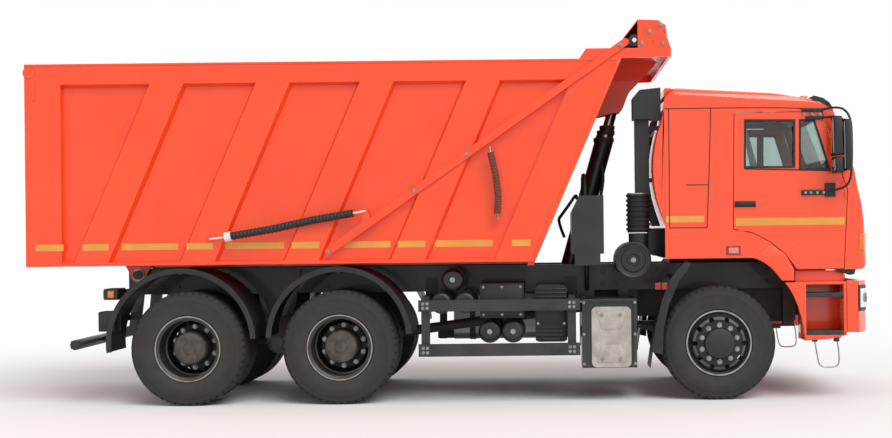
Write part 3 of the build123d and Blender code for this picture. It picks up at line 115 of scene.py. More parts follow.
# the painted floor fades into the white of the backdrop well outside the truck's shadow
floor_paint, tree = bare_material("studio_floor_paint")
spot = node(tree, "VectorMath", {0: node(tree, "TexCoord").outputs["Object"]}, operation="LENGTH")
away = node(tree, "MapRange", {"Value": spot.outputs["Value"], "From Min": FLOOR_FADE[0], "From Max": FLOOR_FADE[1]},
            interpolation_type="SMOOTHSTEP")
painted = node(tree, "BsdfPrincipled", {"Base Color": (0.9, 0.9, 0.9, 1), "Roughness": 0.9, "Specular IOR Level": 0.0})
lit = node(tree, "Emission", {"Color": (1, 1, 1, 1), "Strength": 1.0})
seen_far = node(tree, "Math", {0: away.outputs[0], 1: pale_for_the_eye(tree).outputs[0]}, operation="MULTIPLY")
floor_look = node(tree, "MixShader", {0: seen_far.outputs[0], 1: painted.outputs[0], 2: lit.outputs[0]})
node(tree, "OutputMaterial", {"Surface": floor_look.outputs[0]})
bpy.ops.mesh.primitive_plane_add(size=FLOOR_SIZE, location=(0, 0, 0))
floor = bpy.context.object
floor.name = "studio_floor"
floor.data.materials.append(floor_paint)


# Chassis frame.
# Two pressed steel channels with cold-riveted crossmembers, under satin black chassis enamel that
# road dust has dulled. Rows of round-headed rivets and flanged bolts show along the webs.
def linear(hex_code):
    """An sRGB hex colour as linear RGBA."""
    channels = [int(hex_code[i:i + 2], 16) / 255 for i in (1, 3, 5)]
    return tuple(c / 12.92 if c <= 0.04045 else ((c + 0.055) / 1.055) ** 2.4 for c in channels) + (1.0,)


def finish(name, colour, shade, patch_mm, grain_mm, grain_depth_mm, roughness, dust=None, **shader):
    """A finish whose tone drifts over patches, with a fine grain that roughens its gloss.

    dust is the colour of the road dust that lies thickest near the ground, if there is any.
    """
    made, tree = bare_material(name)
    place = node(tree, "TexCoord").outputs["Object"]
    patches = node(tree, "TexNoise", {"Vector": place, "Scale": 1000 / patch_mm, "Detail": 4.0})
    grain = node(tree, "TexNoise", {"Vector": place, "Scale": 1000 / grain_mm, "Detail": 2.0})
    spread = node(tree, "MapRange", {"Value": patches.outputs[0], "From Min": 0.36, "From Max": 0.64})
    tone = node(tree, "Mix", {0: spread.outputs[0], 6: linear(colour), 7: linear(shade)}, data_type="RGBA")
    look = tone.outputs[2]
    if dust:
        height = node(tree, "SeparateXYZ", {0: place})
        low = node(tree, "MapRange", {"Value": height.outputs["Z"], "From Min": 0.0, "From Max": 1.3,
                                      "To Min": 0.55, "To Max": 0.06})
        settled = node(tree, "Math", {0: low.outputs[0], 1: spread.outputs[0]}, operation="MULTIPLY")
        look = node(tree, "Mix", {0: settled.outputs[0], 6: look, 7: linear(dust)}, data_type="RGBA").outputs[2]
    gloss = node(tree, "MapRange", {"Value": patches.outputs[0], "From Min": 0.3, "From Max": 0.7,
                                    "To Min": roughness * 0.85, "To Max": min(1.0, roughness * 1.15)})
    relief = node(tree, "Bump", {"Height": grain.outputs[0], "Distance": grain_depth_mm / 1000})
    settings = {name.replace("_", " ").title().replace("Ior", "IOR"): v for name, v in shader.items()}
    surface = node(tree, "BsdfPrincipled", {"Base Color": look, "Roughness": gloss.outputs[0],
                                            "Normal": relief.outputs[0], **settings})
    node(tree, "OutputMaterial", {"Surface": surface.outputs[0]})
    return made


def dress(material, *names):
    """Gives CAD nodes a finish in every one of their slots."""
    for name in names:
        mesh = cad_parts[name].data
        if not mesh.materials:
            mesh.materials.append(material)
        for slot in range(len(mesh.materials)):
            mesh.materials[slot] = material


def open_mesh():
    """Opens the active object's mesh for editing, with all of it selected."""
    bpy.ops.object.mode_set(mode="EDIT")
    bpy.ops.mesh.select_all(action="SELECT")


def close_mesh():
    """Ends the editing of a mesh."""
    bpy.ops.object.mode_set(mode="OBJECT")


SMOOTH_BELOW = radians(38)    # edges that turn more than this stay sharp


def settle(name, material, body):
    """Makes one finished piece of the selected objects: joined, in place, facing outwards, on its body."""
    parts = list(bpy.context.selected_objects)
    bpy.context.view_layer.objects.active = parts[0]
    if len(parts) > 1:
        bpy.ops.object.join()
    made = bpy.context.object
    bpy.ops.object.transform_apply(location=True, rotation=True, scale=True)
    open_mesh()
    bpy.ops.mesh.normals_make_consistent(inside=False)
    close_mesh()
    bpy.ops.object.shade_smooth_by_angle(angle=SMOOTH_BELOW)
    made.name = made.data.name = name
    made.data.materials.clear()
    made.data.materials.append(material)
    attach(made, body)
    bpy.ops.object.select_all(action="DESELECT")
    return made


def at_each(source, places):
    """Copies a piece to every further place, each with its own mesh, and leaves them all selected."""
    source.location = places[0]
    for place in places[1:]:
        copy = source.copy()
        copy.data = source.data.copy()
        copy.location = place
        bpy.context.collection.objects.link(copy)
        copy.select_set(True)
    source.select_set(True)
    bpy.context.view_layer.objects.active = source


# turns a head that points up to the side that it faces
TURN_TO = {"-Y": (pi / 2, 0, 0), "+Y": (-pi / 2, 0, 0), "+X": (0, pi / 2, 0), "-X": (0, -pi / 2, 0)}


def screws(name, material, body, facing, across, places, sides=6):
    """Like screw heads on their washers, all facing one way; across is the head's width in metres."""
    bpy.ops.mesh.primitive_cylinder_add(vertices=12, radius=across * 0.72, depth=across * 0.16,
                                        location=(0, 0, across * 0.08))
    washer = bpy.context.object
    bpy.ops.mesh.primitive_cylinder_add(vertices=sides, radius=across * 0.56, depth=across * 0.5,
                                        location=(0, 0, across * 0.41))
    open_mesh()
    bpy.ops.mesh.bevel(offset=across * 0.07, segments=1, affect="EDGES")
    close_mesh()
    washer.select_set(True)
    bpy.ops.object.join()
    bpy.ops.object.transform_apply(location=True)
    head = bpy.context.object
    head.rotation_euler = TURN_TO[facing]
    at_each(head, places)
    settle(name, material, body)


SIDES = ((-1, "right"), (1, "left"))
FACING = {-1: "-Y", 1: "+Y"}
CHASSIS_DUST = "#4a443e"
chassis_enamel = finish("satin_black_chassis_enamel", "#111112", "#1a1918", 300, 3, 0.05, 0.42, CHASSIS_DUST,
                        coat_weight=0.2)
zinc_plate = finish("zinc_plated_steel", "#a9a9a6", "#8d8c88", 40, 1, 0.01, 0.35, metallic=0.9)
dress(chassis_enamel, "frame")
WEB_COLUMNS = (-2.9, -2.75, -2.25, -1.25, -0.76, -0.64, -0.06, 0.06, 0.7, 1.5, 1.62, 1.9, 2.05, 3.15, 3.3)
for side, side_name in SIDES:
    screws("rail_rivets_" + side_name, chassis_enamel, "chassis", FACING[side], 0.034,
           [(x, side * 0.430, z) for x in WEB_COLUMNS for z in (1.1, 1.22)], sides=10)
screws("crossmember_bolts_rear", chassis_enamel, "chassis", "-X", 0.03,
       [(-3.245, y, z) for y in (-0.33, -0.25, 0.25, 0.33) for z in (1.08, 1.16, 1.24)])

# Engine, axles and steering.
# Cast iron and forged steel, primed in dark grey and never washed: the castings' sand texture shows
# through, and dried mud has lightened the lower faces.
casting_iron = finish("primed_cast_iron", "#232221", "#34312e", 140, 5, 0.4, 0.62, "#5a5148")
dress(casting_iron, "engine", "front_axle", "drive_axles", "knuckle_right", "knuckle_left", "track_rod")
for axle_name, axle_x in (("mid", -1.03), ("rear", -2.47)):
    screws("carrier_bolts_" + axle_name, casting_iron, "chassis", "+X", 0.026,
           [(axle_x + 0.165, 0.17 * cos(a * pi / 6), 0.541 + 0.17 * sin(a * pi / 6)) for a in range(12)])

# Leaf springs.
# Stacks of rolled spring steel painted with the chassis, clamped over each axle by U bolts with nuts.
spring_enamel = finish("painted_spring_steel", "#1d1c1c", "#2d2a27", 120, 4, 0.1, 0.55, CHASSIS_DUST)
dress(spring_enamel, "leaf_springs")


def block(low, high, edge):
    """A box between two corners with its edges broken, left as the only selected object."""
    bpy.ops.object.select_all(action="DESELECT")
    size = [h - l for l, h in zip(low, high)]
    middle = [(h + l) / 2 for l, h in zip(low, high)]
    bpy.ops.mesh.primitive_cube_add(size=1, location=middle, scale=size)
    made = bpy.context.object
    bpy.ops.object.transform_apply(location=True, rotation=False, scale=True)
    open_mesh()
    bpy.ops.mesh.bevel(offset=edge, segments=2, affect="EDGES")
    close_mesh()
    return made


def blocks(name, material, body, edge, *corners):
    """Like boxes of one piece, from (low x, high x, low y, high y, low z, high z) in millimetres."""
    made = [block([c / 1000 for c in box[0::2]], [c / 1000 for c in box[1::2]], edge / 1000) for box in corners]
    for box in made:
        box.select_set(True)
    settle(name, material, body)


blocks("spring_clamps", spring_enamel, "chassis", 4,
       *[(x - 12, x + 12, y0, y1, z0, z1) for s in (-1, 1) for x, ya, yb, z0, z1 in (
           (2505, 326, 440, 500, 690), (2635, 326, 440, 500, 690), (-1820, 446, 560, 640, 772),
           (-1680, 446, 560, 640, 772)) for y0, y1 in [sorted((s * ya, s * yb))]])

# Mudguards.
# Moulded black polyethylene: a fine leather grain, pale scuffs and dust, and a rolled lip that
# catches the light. The front guards end in a flap and carry two red reflector cells.
guard_plastic = finish("moulded_black_polyethylene", "#0d0d0e", "#141415", 200, 2, 0.08, 0.5, "#3e3a36")
red_lens = finish("red_acrylic_lens", "#a31616", "#8c1010", 20, 6, 0.3, 0.18, coat_weight=0.6)
dress(guard_plastic, "mudguards")
for side, side_name in SIDES:
    low, high = sorted((side * 1236, side * 1222))
    blocks("guard_reflectors_" + side_name, red_lens, "chassis", 3,
           *[(x, x + 52, low, high, 1058, 1122) for x in (1962, 2024)])

# Rear underrun bar and tail lamps.
# A welded round tube on two plate arms. Each lamp is a black moulded tray with a red, an amber and a
# clear acrylic lens, over a small marker hung from the lamp bar.
amber_lens = finish("amber_acrylic_lens", "#d9791a", "#c96a12", 20, 6, 0.3, 0.18, coat_weight=0.6)
clear_lens = finish("clear_polycarbonate_lens", "#e6e8ea", "#d2d5d8", 25, 8, 0.4, 0.08, coat_weight=0.8)
dress(chassis_enamel, "rear_underrun")
dress(guard_plastic, "tail_lamps")
for side, side_name in SIDES:
    for lens_name, lens, near, far in (("red", red_lens, 1110, 1226), ("amber", amber_lens, 1040, 1104),
                                       ("clear", clear_lens, 970, 1034)):
        low, high = sorted((side * near, side * far))
        blocks("tail_lamp_" + lens_name + "_" + side_name, lens, "chassis", 5,
               (-3263, -3250, low, high, 1026, 1110))
    low, high = sorted((side * 1228, side * 1241))
    blocks("tail_lamp_side_marker_" + side_name, amber_lens, "chassis", 4, (-3216, -3160, low, high, 1036, 1100))
blocks("rear_junction_boxes", guard_plastic, "chassis", 12,
       *[(-3336, -3177, y, y + 220, 710, 900) for y in (-1150, 930)],
       *[(-3290, -3225, y, y + 520, 775, 835) for y in (-940, 420)])
blocks("underrun_end_caps", guard_plastic, "chassis", 6,
       *[(-3596, -3518, y, y + 10, 547, 625) for y in (-1158, 1148)])
blocks("plate_bracket", guard_plastic, "chassis", 3, (-3270, -3262, -260, 260, 1030, 1150),
       *[(-3263, -3230, y, y + 20, 1040, 1140) for y in (-200, 180)])

# Side guards.
# Two pairs of folded aluminium planks in black powder coat on each side, bolted to posts.
guard_coat = finish("black_powder_coat", "#1d1d1f", "#252527", 260, 1.5, 0.12, 0.48, CHASSIS_DUST)
dress(guard_coat, "side_guards")
for side, side_name in SIDES:
    screws("side_guard_bolts_" + side_name, zinc_plate, "chassis", FACING[side], 0.022,
           [(x, side * 1.240, z) for x in (-0.236, -0.196, 1.152, 1.192) for z in (0.905, 0.947, 0.484, 0.526)])

# Air tanks, valve box and ribbed container.
# Rolled and welded steel cylinders under black enamel, strapped to bearers, with zinc-plated pipe
# unions in their ends. The container has deep moulded ribs, and the valve box a bolted cover.
dress(chassis_enamel, "air_tanks")
dress(guard_plastic, "equipment_boxes")


def turned(section, centre, steps, axis="Y"):
    """A closed section of (along the axis, radius) in millimetres, turned about an axis through a point."""
    bpy.ops.object.select_all(action="DESELECT")
    bpy.ops.mesh.primitive_circle_add(vertices=len(section), location=(0, 0, 0))
    made = bpy.context.object
    spot = Vector(centre) / 1000
    for vertex, (along, radius) in zip(made.data.vertices, section):
        a, r = along / 1000, max(radius, 0.01) / 1000
        vertex.co = spot + Vector({"Y": (0, a, r), "X": (a, 0, r), "Z": (r, 0, a)}[axis])
    open_mesh()
    bpy.ops.mesh.spin(steps=steps, angle=2 * pi, center=spot,
                      axis={"Y": (0, 1, 0), "X": (1, 0, 0), "Z": (0, 0, 1)}[axis])
    bpy.ops.mesh.select_all(action="SELECT")
    bpy.ops.mesh.remove_doubles(threshold=0.0002)
    close_mesh()
    return made


def disc(start, length, radius, inner=0):
    """The section of a plain round piece: where it starts along its axis, its length and its radii."""
    return [(start, inner), (start, radius), (start + length, radius), (start + length, inner)]


def outwards(side, *section):
    """A section along Y for one side of the truck, from distances to the truck's middle."""
    return [(side * along, radius) for along, radius in section]


def gather(name, material, body, pieces):
    """Makes one finished piece of several objects."""
    for made in pieces:
        made.select_set(True)
    return settle(name, material, body)


TANKS = ((36, 1165, 106), (-78, 945, 106), (150, 945, 106), (386, 665, 110), (610, 665, 110))
gather("air_tank_unions", zinc_plate, "chassis",
       [turned([(-1060, 0), (-1060, 26), (-1078, 26), (-1078, 17), (-1096, 17), (-1096, 0)], (x, 0, z), 12)
        for x, z, radius in TANKS])
gather("air_tank_straps", guard_coat, "chassis",
       [turned(disc(y, 40, radius + 4, radius - 2), (x, 0, z), 28)
        for x, z, radius in TANKS for y in (-900, -620)])
blocks("container_ribs", guard_plastic, "chassis", 6,
       *[(826, 1128, -1092, -1078, z - 9, z + 9) for z in (1068, 1030, 992, 700, 662, 624, 586)],
       (836, 1118, -1090, -1078, 730, 960))
blocks("valve_box_cover", guard_plastic, "chassis", 6, (312, 704, -1092, -1079, 812, 1112))
screws("box_cover_bolts", zinc_plate, "chassis", "-Y", 0.018,
       [(x, -1.092, z) for x in (0.33, 0.508, 0.686) for z in (0.83, 1.094)] +
       [(x, -1.092, z) for z in (0.74, 0.95) for x in (0.85, 1.1)])

# Battery box and its lid.
# A folded steel box under chassis enamel. The lid is stamped aluminium-grey sheet with two raised
# trapezoid panels that stiffen it, held by four quarter-turn fasteners.
lid_lacquer = finish("warm_grey_lacquered_sheet", "#b9b4ac", "#aaa49b", 120, 1.2, 0.02, 0.38, "#8d8377", metallic=0.35)
dress(chassis_enamel, "battery_box")
dress(lid_lacquer, "battery_lid")


def slab(corners, push, rim=0, edge=0):
    """A flat plate with these corners in millimetres, thickened by the push; rim keeps only a border."""
    bpy.ops.object.select_all(action="DESELECT")
    bpy.ops.mesh.primitive_circle_add(vertices=len(corners), fill_type="NGON", location=(0, 0, 0))
    made = bpy.context.object
    for vertex, corner in zip(made.data.vertices, corners):
        vertex.co = Vector(corner) / 1000
    open_mesh()
    if rim:
        bpy.ops.mesh.inset(thickness=rim / 1000, depth=0)
        bpy.ops.mesh.delete(type="FACE")
        bpy.ops.mesh.select_all(action="SELECT")
    bpy.ops.mesh.extrude_region_move(TRANSFORM_OT_translate={"value": Vector(push) / 1000})
    if edge:
        bpy.ops.mesh.bevel(offset=edge / 1000, segments=2, affect="EDGES")
    close_mesh()
    return made


def on_side(outline, side, face):
    """Places an X, Z outline on the wall at |Y| = face of one side."""
    return [(x, side * face, z) for x, z in outline]


def plate(outline, side, face, depth, rim=0, edge=0):
    """A plate on one side of the truck, from |Y| = face outwards by its depth."""
    return slab(on_side(outline, side, face), (0, side * depth, 0), rim, edge)


def oblong(x0, z0, x1, z1):
    """The corners of an upright oblong."""
    return (x0, z0), (x1, z0), (x1, z1), (x0, z1)


def side_block(side, near, far, x0, x1, z0, z1, edge):
    """A box on one side of the truck, between two |Y|, all in millimetres."""
    low, high = sorted((side * near, side * far))
    return block((x0 / 1000, low / 1000, z0 / 1000), (x1 / 1000, high / 1000, z1 / 1000), edge / 1000)


LID_PANELS = (((1404, 858), (1690, 858), (1640, 690), (1452, 690)),
              ((1452, 545), (1640, 545), (1690, 376), (1404, 376)))
gather("battery_lid_pressings", lid_lacquer, "chassis",
       [plate(panel, -1, 1234, 9, edge=6) for panel in LID_PANELS])
screws("battery_lid_fasteners", zinc_plate, "chassis", "-Y", 0.03,
       [(x, -1.235, z) for x, z in ((1.452, 0.824), (1.63, 0.824), (1.462, 0.406), (1.63, 0.406))], sides=12)
gather("battery_box_frame", chassis_enamel, "chassis",
       [plate(oblong(1268, 322, 1788, 974), -1, 1198, 16, rim=34, edge=4)])
screws("battery_box_bolts", zinc_plate, "chassis", "-Y", 0.02,
       [(x, -1.214, z) for x in (1.286, 1.77) for z in (0.36, 0.64, 0.94)])

# Side walls of the front mudguards.
# Moulded in one with the guard: a wide flat flange that hides the gap beside the tyre.
GUARD_FLANGE = ((1916, 469), (1966, 724), (2026, 960), (2103, 1148), (2238, 1312), (2304, 1312), (2284, 1250),
                (2188, 1128), (2092, 911), (2042, 676), (2030, 440))
for side, side_name in SIDES:
    gather("front_guard_flange_" + side_name, guard_plastic, "chassis",
           [plate(GUARD_FLANGE, side, 1214, 10, edge=4)])

# Fuel tank and silencer, on the left side.
# The tank is pressed aluminium sheet, rolled and seam welded, held by two steel bands. The silencer
# is aluminised steel behind a perforated heat shield.
tank_sheet = finish("brushed_aluminium_tank_sheet", "#a9abad", "#97999b", 260, 1.2, 0.04, 0.38, "#77706a",
                    metallic=0.85)
heat_shield = finish("aluminised_steel", "#86827c", "#716c66", 90, 2, 0.1, 0.5, "#6a6158", metallic=0.7)
dress(tank_sheet, "fuel_tank")
dress(heat_shield, "silencer")


def tank_band(x, width, centre_y, centre_z, half_y, half_z, corner):
    """A strap bent round a tank that lies along the frame."""
    ring = []
    for quarter, (sy, sz) in enumerate(oblong(1, 1, -1, -1)):
        for step in range(5):
            angle = (quarter + step / 4) * pi / 2
            ring.append((x, centre_y + sy * (half_y - corner) + corner * cos(angle),
                         centre_z + sz * (half_z - corner) + corner * sin(angle)))
    return slab(ring, (width, 0, 0), rim=8)


gather("fuel_tank_bands", guard_coat, "chassis", [tank_band(x, 60, 840, 760, 317, 287, 96) for x in (110, 870)])
gather("fuel_filler_cap", guard_plastic, "chassis",
       [turned([(0, 0), (0, 52), (-20, 52), (-20, 62), (34, 62), (44, 54), (44, 0)], (240, 900, 1045), 24, "Z")])
gather("silencer_bands", guard_coat, "chassis", [tank_band(x, 40, 840, 700, 286, 316, 124) for x in (1360, 1650)])
gather("silencer_slots", guard_coat, "chassis",
       [slab([(x, 1119, z), (x + 26, 1119, z), (x + 26, 1119, z + 90), (x, 1119, z + 90)], (0, 3, 0), edge=2)
        for z in (540, 700, 860) for x in range(1430, 1630, 44) if z < 900])

# Hydraulic tank and its pipes.
# A welded steel reservoir with a sight glass and a breather cap; hard steel pipes and wire-braided
# hoses with black covers run from it to the pump and the hoist.
pipe_enamel = finish("black_hose_rubber", "#151515", "#202020", 60, 1.5, 0.1, 0.55)
dress(chassis_enamel, "hydraulic_tank")


def pipe(route, radius, ridges=0):
    """A bent round tube through points in millimetres; ridges makes a corrugated or wrinkled sleeve."""
    bpy.ops.object.select_all(action="DESELECT")
    line = bpy.data.curves.new("pipe", "CURVE")
    line.dimensions = "3D"
    line.bevel_depth = radius / 1000
    line.bevel_resolution = 3
    line.resolution_u = 6
    line.use_fill_caps = True
    points = [Vector(place) / 1000 for place in route]
    if ridges:
        steps = 2 * ridges // (len(points) - 1)
        runs = zip(points, points[1:])
        points = [start.lerp(stop, i / steps) for start, stop in runs for i in range(steps)] + points[-1:]
    run = line.splines.new("POLY" if ridges else "NURBS")
    run.points.add(len(points) - 1)
    for number, (point, place) in enumerate(zip(run.points, points)):
        point.co = (*place, 1)
        point.radius = 0.82 if ridges and number % 2 else 1.0
    if not ridges:
        run.order_u = 3
        run.use_endpoint_u = True
    made = bpy.data.objects.new("pipe", line)
    bpy.context.collection.objects.link(made)
    made.select_set(True)
    bpy.context.view_layer.objects.active = made
    bpy.ops.object.convert(target="MESH")
    return bpy.context.object


gather("oil_pipes", pipe_enamel, "chassis", [
    pipe([(1311, -250, 1960), (1311, -250, 2150), (1316, -420, 2190), (1322, -560, 2100), (1326, -600, 1700),
          (1332, -600, 1300), (1337, -560, 1071), (1337, -440, 1040)], 22),
    pipe([(1250, -210, 1950), (1245, -330, 1999), (1180, -380, 1900), (1090, -330, 1780), (1051, -140, 1727),
          (1120, -60, 1560)], 16),
    pipe([(1400, 80, 1958), (1400, 60, 2080), (1330, 20, 2130), (1290, -60, 1990), (1250, -90, 1850)], 16)])
gather("oil_tank_cap", guard_plastic, "chassis",
       [turned([(0, 0), (0, 46), (26, 46), (36, 38), (36, 0)], (1420, 250, 1958), 20, "Z")])
gather("oil_tank_seams", chassis_enamel, "chassis",
       [plate(((1180, 1400), (1180, 1800), (1260, 1960), (1490, 1960), (1490, 1400)), -1, 190, 5, rim=14, edge=2)])
gather("oil_sight_glass", clear_lens, "chassis", [plate(oblong(1400, 1640, 1425, 1780), -1, 190, 8, edge=3)])

# Air cleaner.
# A spun steel canister under black enamel with a stepped end cover, which a central wing nut holds.
dress(guard_plastic, "air_filter")
gather("air_filter_cover", guard_plastic, "chassis",
       [turned([(-1148, 0), (-1148, 172), (-1170, 172), (-1176, 162), (-1168, 150), (-1168, 118), (-1178, 110),
                (-1178, 60), (-1170, 52), (-1170, 0)], (1763, 0, 1339), 48)])
screws("air_filter_nut", zinc_plate, "chassis", "-Y", 0.036, [(1.763, -1.170, 1.339)])

# Bumper.
# Moulded sheet composite with the cab's orange enamel on a steel beam. The corner lamps sit in black
# moulded trays behind polycarbonate lenses, with chromed bowls for dipped and main beam.
cab_enamel = finish("orange_cab_enamel", "#f4470f", "#ee4511", 900, 2.5, 0.01, 0.26, coat_weight=0.7,
                    coat_roughness=0.06)
chromed_bowl = finish("chromed_reflector", "#d0d2d4", "#c4c6c8", 60, 6, 0.02, 0.12, metallic=1.0)
dress(cab_enamel, "bumper")
TRAY_PLAN = ((3974, 860), (3986, 860), (3986, 1083), (3893, 1248), (3880, 1241), (3974, 1078))
LENS_PLAN = ((3980, 892), (3990, 892), (3990, 1082), (3908, 1229), (3900, 1224), (3980, 1078))


def shelf(plan, side, bottom, height, edge):
    """An upright form on one side of the truck over a plan in X and |Y|."""
    return slab([(x, side * y, bottom) for x, y in plan], (0, 0, height), edge=edge)


for side, side_name in SIDES:
    gather("lamp_tray_" + side_name, guard_plastic, "chassis", [shelf(TRAY_PLAN, side, 835, 246, 5)])
    gather("lamp_lens_" + side_name, clear_lens, "chassis", [shelf(LENS_PLAN, side, 868, 180, 4)])
    gather("lamp_bowls_" + side_name, chromed_bowl, "chassis",
           [turned([(3988, 58), (3995, 56), (3995, 46), (3991, 30), (3991, 0), (3988, 0)], (0, side * y, 958), 28, "X")
            for y in (950, 1048)])
    gather("fog_lamp_" + side_name, clear_lens, "chassis",
           [turned([(3979, 0), (3979, 44), (3987, 44), (3989, 36), (3985, 30), (3985, 0)],
                   (0, side * 700, 760), 24, "X")])


def facing_out(x, y0, y1, z0, z1, push, **shape):
    """A plate square to the truck's length, with its face at X and its thickness towards the push."""
    return slab([(x, y0, z0), (x, y1, z0), (x, y1, z1), (x, y0, z1)], (push, 0, 0), **shape)


gather("bumper_slot_mesh", guard_plastic, "chassis",
       [facing_out(3978, -550, 550, z, z + 80, 5, edge=3) for z in (675, 805)])
white_plate = finish("white_plate_sheet", "#dcdcd8", "#d4d4d0", 200, 3, 0.02, 0.4)
gather("blank_plate", white_plate, "chassis", [facing_out(3980, -260, 260, 930, 1042, 5, edge=2)])
gather("tow_eye_covers", guard_plastic, "chassis",
       [facing_out(3980, y - 45, y + 45, 1060, 1096, 5, edge=2) for y in (-420, 420)])

# Steps.
# Orange composite panels round a steel well with two treads of punched non-slip sheet, and a bent
# wire stirrup below them that gives way when it hits a kerb.
tread_sheet = finish("black_punched_tread_sheet", "#1e1e1f", "#2e2c2a", 60, 4, 0.3, 0.6, CHASSIS_DUST)
STEP_ARCH = ((3190, 1112), (3232, 1056), (3268, 992), (3310, 892), (3342, 780), (3364, 668), (3377, 560))
STEP_SKIRT = ((3600, 572), (3771, 608), (3771, 640))
# the well's walls and floors: two |Y|, low and high X, low and high Z, and how far the edges are broken
STEP_WALLS = ((935, 1240, 3744, 3772, 620, 1112, 4), (935, 1212, 3361, 3389, 620, 1112, 4),
              (930, 955, 3361, 3772, 560, 1190, 4), (1120, 1160, 3300, 3765, 1100, 1222, 6),
              (955, 1232, 3300, 3765, 1090, 1115, 4), (430, 940, 3660, 3740, 1050, 1110, 6))
panels = []
for side in (-1, 1):
    panels.append(plate(STEP_ARCH + STEP_SKIRT + ((3390, 640), (3390, 1112)), side, 1210, 30, edge=6))
    panels.append(plate(((3380, 560),) + STEP_SKIRT + ((3380, 640),), side, 935, 276))
    panels += [side_block(side, *wall) for wall in STEP_WALLS]
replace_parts(gather("step_panels", cab_enamel, "chassis", panels), "steps")
for side, side_name in SIDES:
    tops = []
    for top in (1010, 652):
        tops += [side_block(side, y, y + 42, 3388, 3745, top - 20, top, 2) for y in (958, 1050, 1098, 1190)]
        tops += [side_block(side, 958, 1232, x, x + 38, top - 18, top - 1, 2)
                 for x in (3388, 3454, 3516, 3578, 3640, 3706)]
        tops.append(side_block(side, 1228, 1242, 3388, 3745, top - 40, top + 4, 3))
    gather("step_treads_" + side_name, tread_sheet, "chassis", tops)
    y = side * 1225
    gather("stirrup_" + side_name, zinc_plate, "chassis",
           [pipe([(3468, y, 560), (3487, y, 444), (3505, y, 335), (3541, y, 308), (3600, y, 306), (3660, y, 308),
                  (3698, y, 335), (3697, y, 420), (3690, y, 509), (3676, y, 572)], 7)])
    gather("stirrup_lugs_" + side_name, guard_plastic, "chassis",
           [side_block(side, 1180, 1236, x, x + 50, 548, 585, 6) for x in (3445, 3652)])

# Cab shell, roof and front.
# Welded pressed steel under two-pack orange enamel with a clear gloss: a faint orange peel, soft
# reflections and dark joints where panels meet. Rubber seals and moulded black trim edge it.
seal_rubber = finish("black_epdm_seal", "#131314", "#1b1b1c", 60, 2, 0.1, 0.6)
SIDE_SEAMS = (((2070, 2768), (2760, 2772), (3300, 2764), (3450, 2752)), ((2507, 2765), (2484, 2100), (2460, 1640)),
              ((2108, 2765), (2106, 1640)), ((2106, 1640), (2460, 1640)), ((2265, 2045), (2483, 2045)))
for side, side_name in SIDES:
    gather("cab_seams_" + side_name, seal_rubber, "cab",
           [pipe([(x, side * 1235, z) for x, z in seam], 4.5) for seam in SIDE_SEAMS])
pale_lens = finish("pale_marker_lens", "#d98a80", "#cf7d72", 20, 5, 0.2, 0.2)
amber_tape = finish("amber_prismatic_tape", "#dd9a35", "#d28f2d", 260, 4, 0.3, 0.4, coat_weight=0.4)
dress(cab_enamel, "door_right", "door_left")


def rolled(name, material, body, width, chosen):
    """A copy of a CAD panel with the chosen outer edges rolled over; it stands for that panel."""
    bpy.ops.object.select_all(action="DESELECT")
    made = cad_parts[name].copy()
    made.data = made.data.copy()
    made.parent = None
    bpy.context.collection.objects.link(made)
    made.hide_set(False)
    made.select_set(True)
    bpy.context.view_layer.objects.active = made
    open_mesh()
    bpy.ops.mesh.remove_doubles(threshold=0.00005)
    bpy.ops.mesh.dissolve_limited(angle_limit=radians(0.5))
    bpy.ops.mesh.select_all(action="DESELECT")
    bpy.ops.mesh.select_mode(type="EDGE")
    close_mesh()
    points = made.data.vertices
    for edge in made.data.edges:
        edge.select = all(chosen(points[corner].co) for corner in edge.vertices)
    bpy.ops.object.mode_set(mode="EDIT")
    bpy.ops.mesh.bevel(offset=width / 1000, segments=5, affect="EDGES")
    bpy.ops.mesh.select_mode(type="VERT")
    close_mesh()
    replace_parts(settle(name + "_skin", material, body), name)


SKIN_Y = 1.2345    # just inside the cab's side walls, so that only the outer edges are chosen
rolled("cab_roof", cab_enamel, "cab", 75, lambda p: abs(p.y) > SKIN_Y and p.z > 2.7751)
rolled("cab_front", cab_enamel, "cab", 75, lambda p: abs(p.y) > SKIN_Y and p.x > 3.8051)
dress(cab_enamel, "cab_shell")
gather("cab_roof_rear_lip", cab_enamel, "cab",
       [plate(((2066, 2890), (2066, 2952), (2080, 2970), (2140, 2968), (2150, 2900)), -1, 1160, -2320, edge=12)])
# the rear wall bulges backwards beside and below its window
BULGE = ((2070, 1640), (2016, 1800), (1980, 1930), (1960, 2060), (1953, 2190), (1956, 2300), (1973, 2420), (2000, 2540),
         (2037, 2643), (2056, 2760), (2070, 2780))
gather("cab_rear_bulge", cab_enamel, "cab", [plate(BULGE, side, 650, 584, edge=14) for side in (-1, 1)])
# painted shade: a near-black sheet that hardly reflects lines the rear wall between the bulges, below them and along
# the top, standing for the shade in the gap between the cab and the bed
rear_wall_shade_sheet = finish("black_painted_shade_sheet", "#0b0b0b", "#141413", 60, 6, 0.5, 0.95, specular_ior_level=0.1)
gather("cab_rear_painted_shade", rear_wall_shade_sheet, "cab",
       [plate(BULGE[:5] + ((2070, 2190),), -1, 648, -1296),
        facing_out(2064, -1215, 1215, 1356, 1640, -12, edge=5), facing_out(2064, -640, 640, 2650, 2770, -10, edge=4)])
ARCH_PANEL = ((2875, 1353), (2940, 1332), (3000, 1300), (3055, 1260), (3110, 1202), (3165, 1130), (3281, 1130),
              (3281, 1236), (3203, 1378), (3062, 1476), (2892, 1353))
for side, side_name in SIDES:
    gather("arch_panel_" + side_name, cab_enamel, "cab", [plate(ARCH_PANEL, side, 1196, 38, edge=5)])
INDICATOR_PLAN = ((3900, 1240), (3940, 1232), (3966, 1196), (3976, 1120), (3962, 1120), (3954, 1188), (3934, 1216),
                  (3900, 1224))
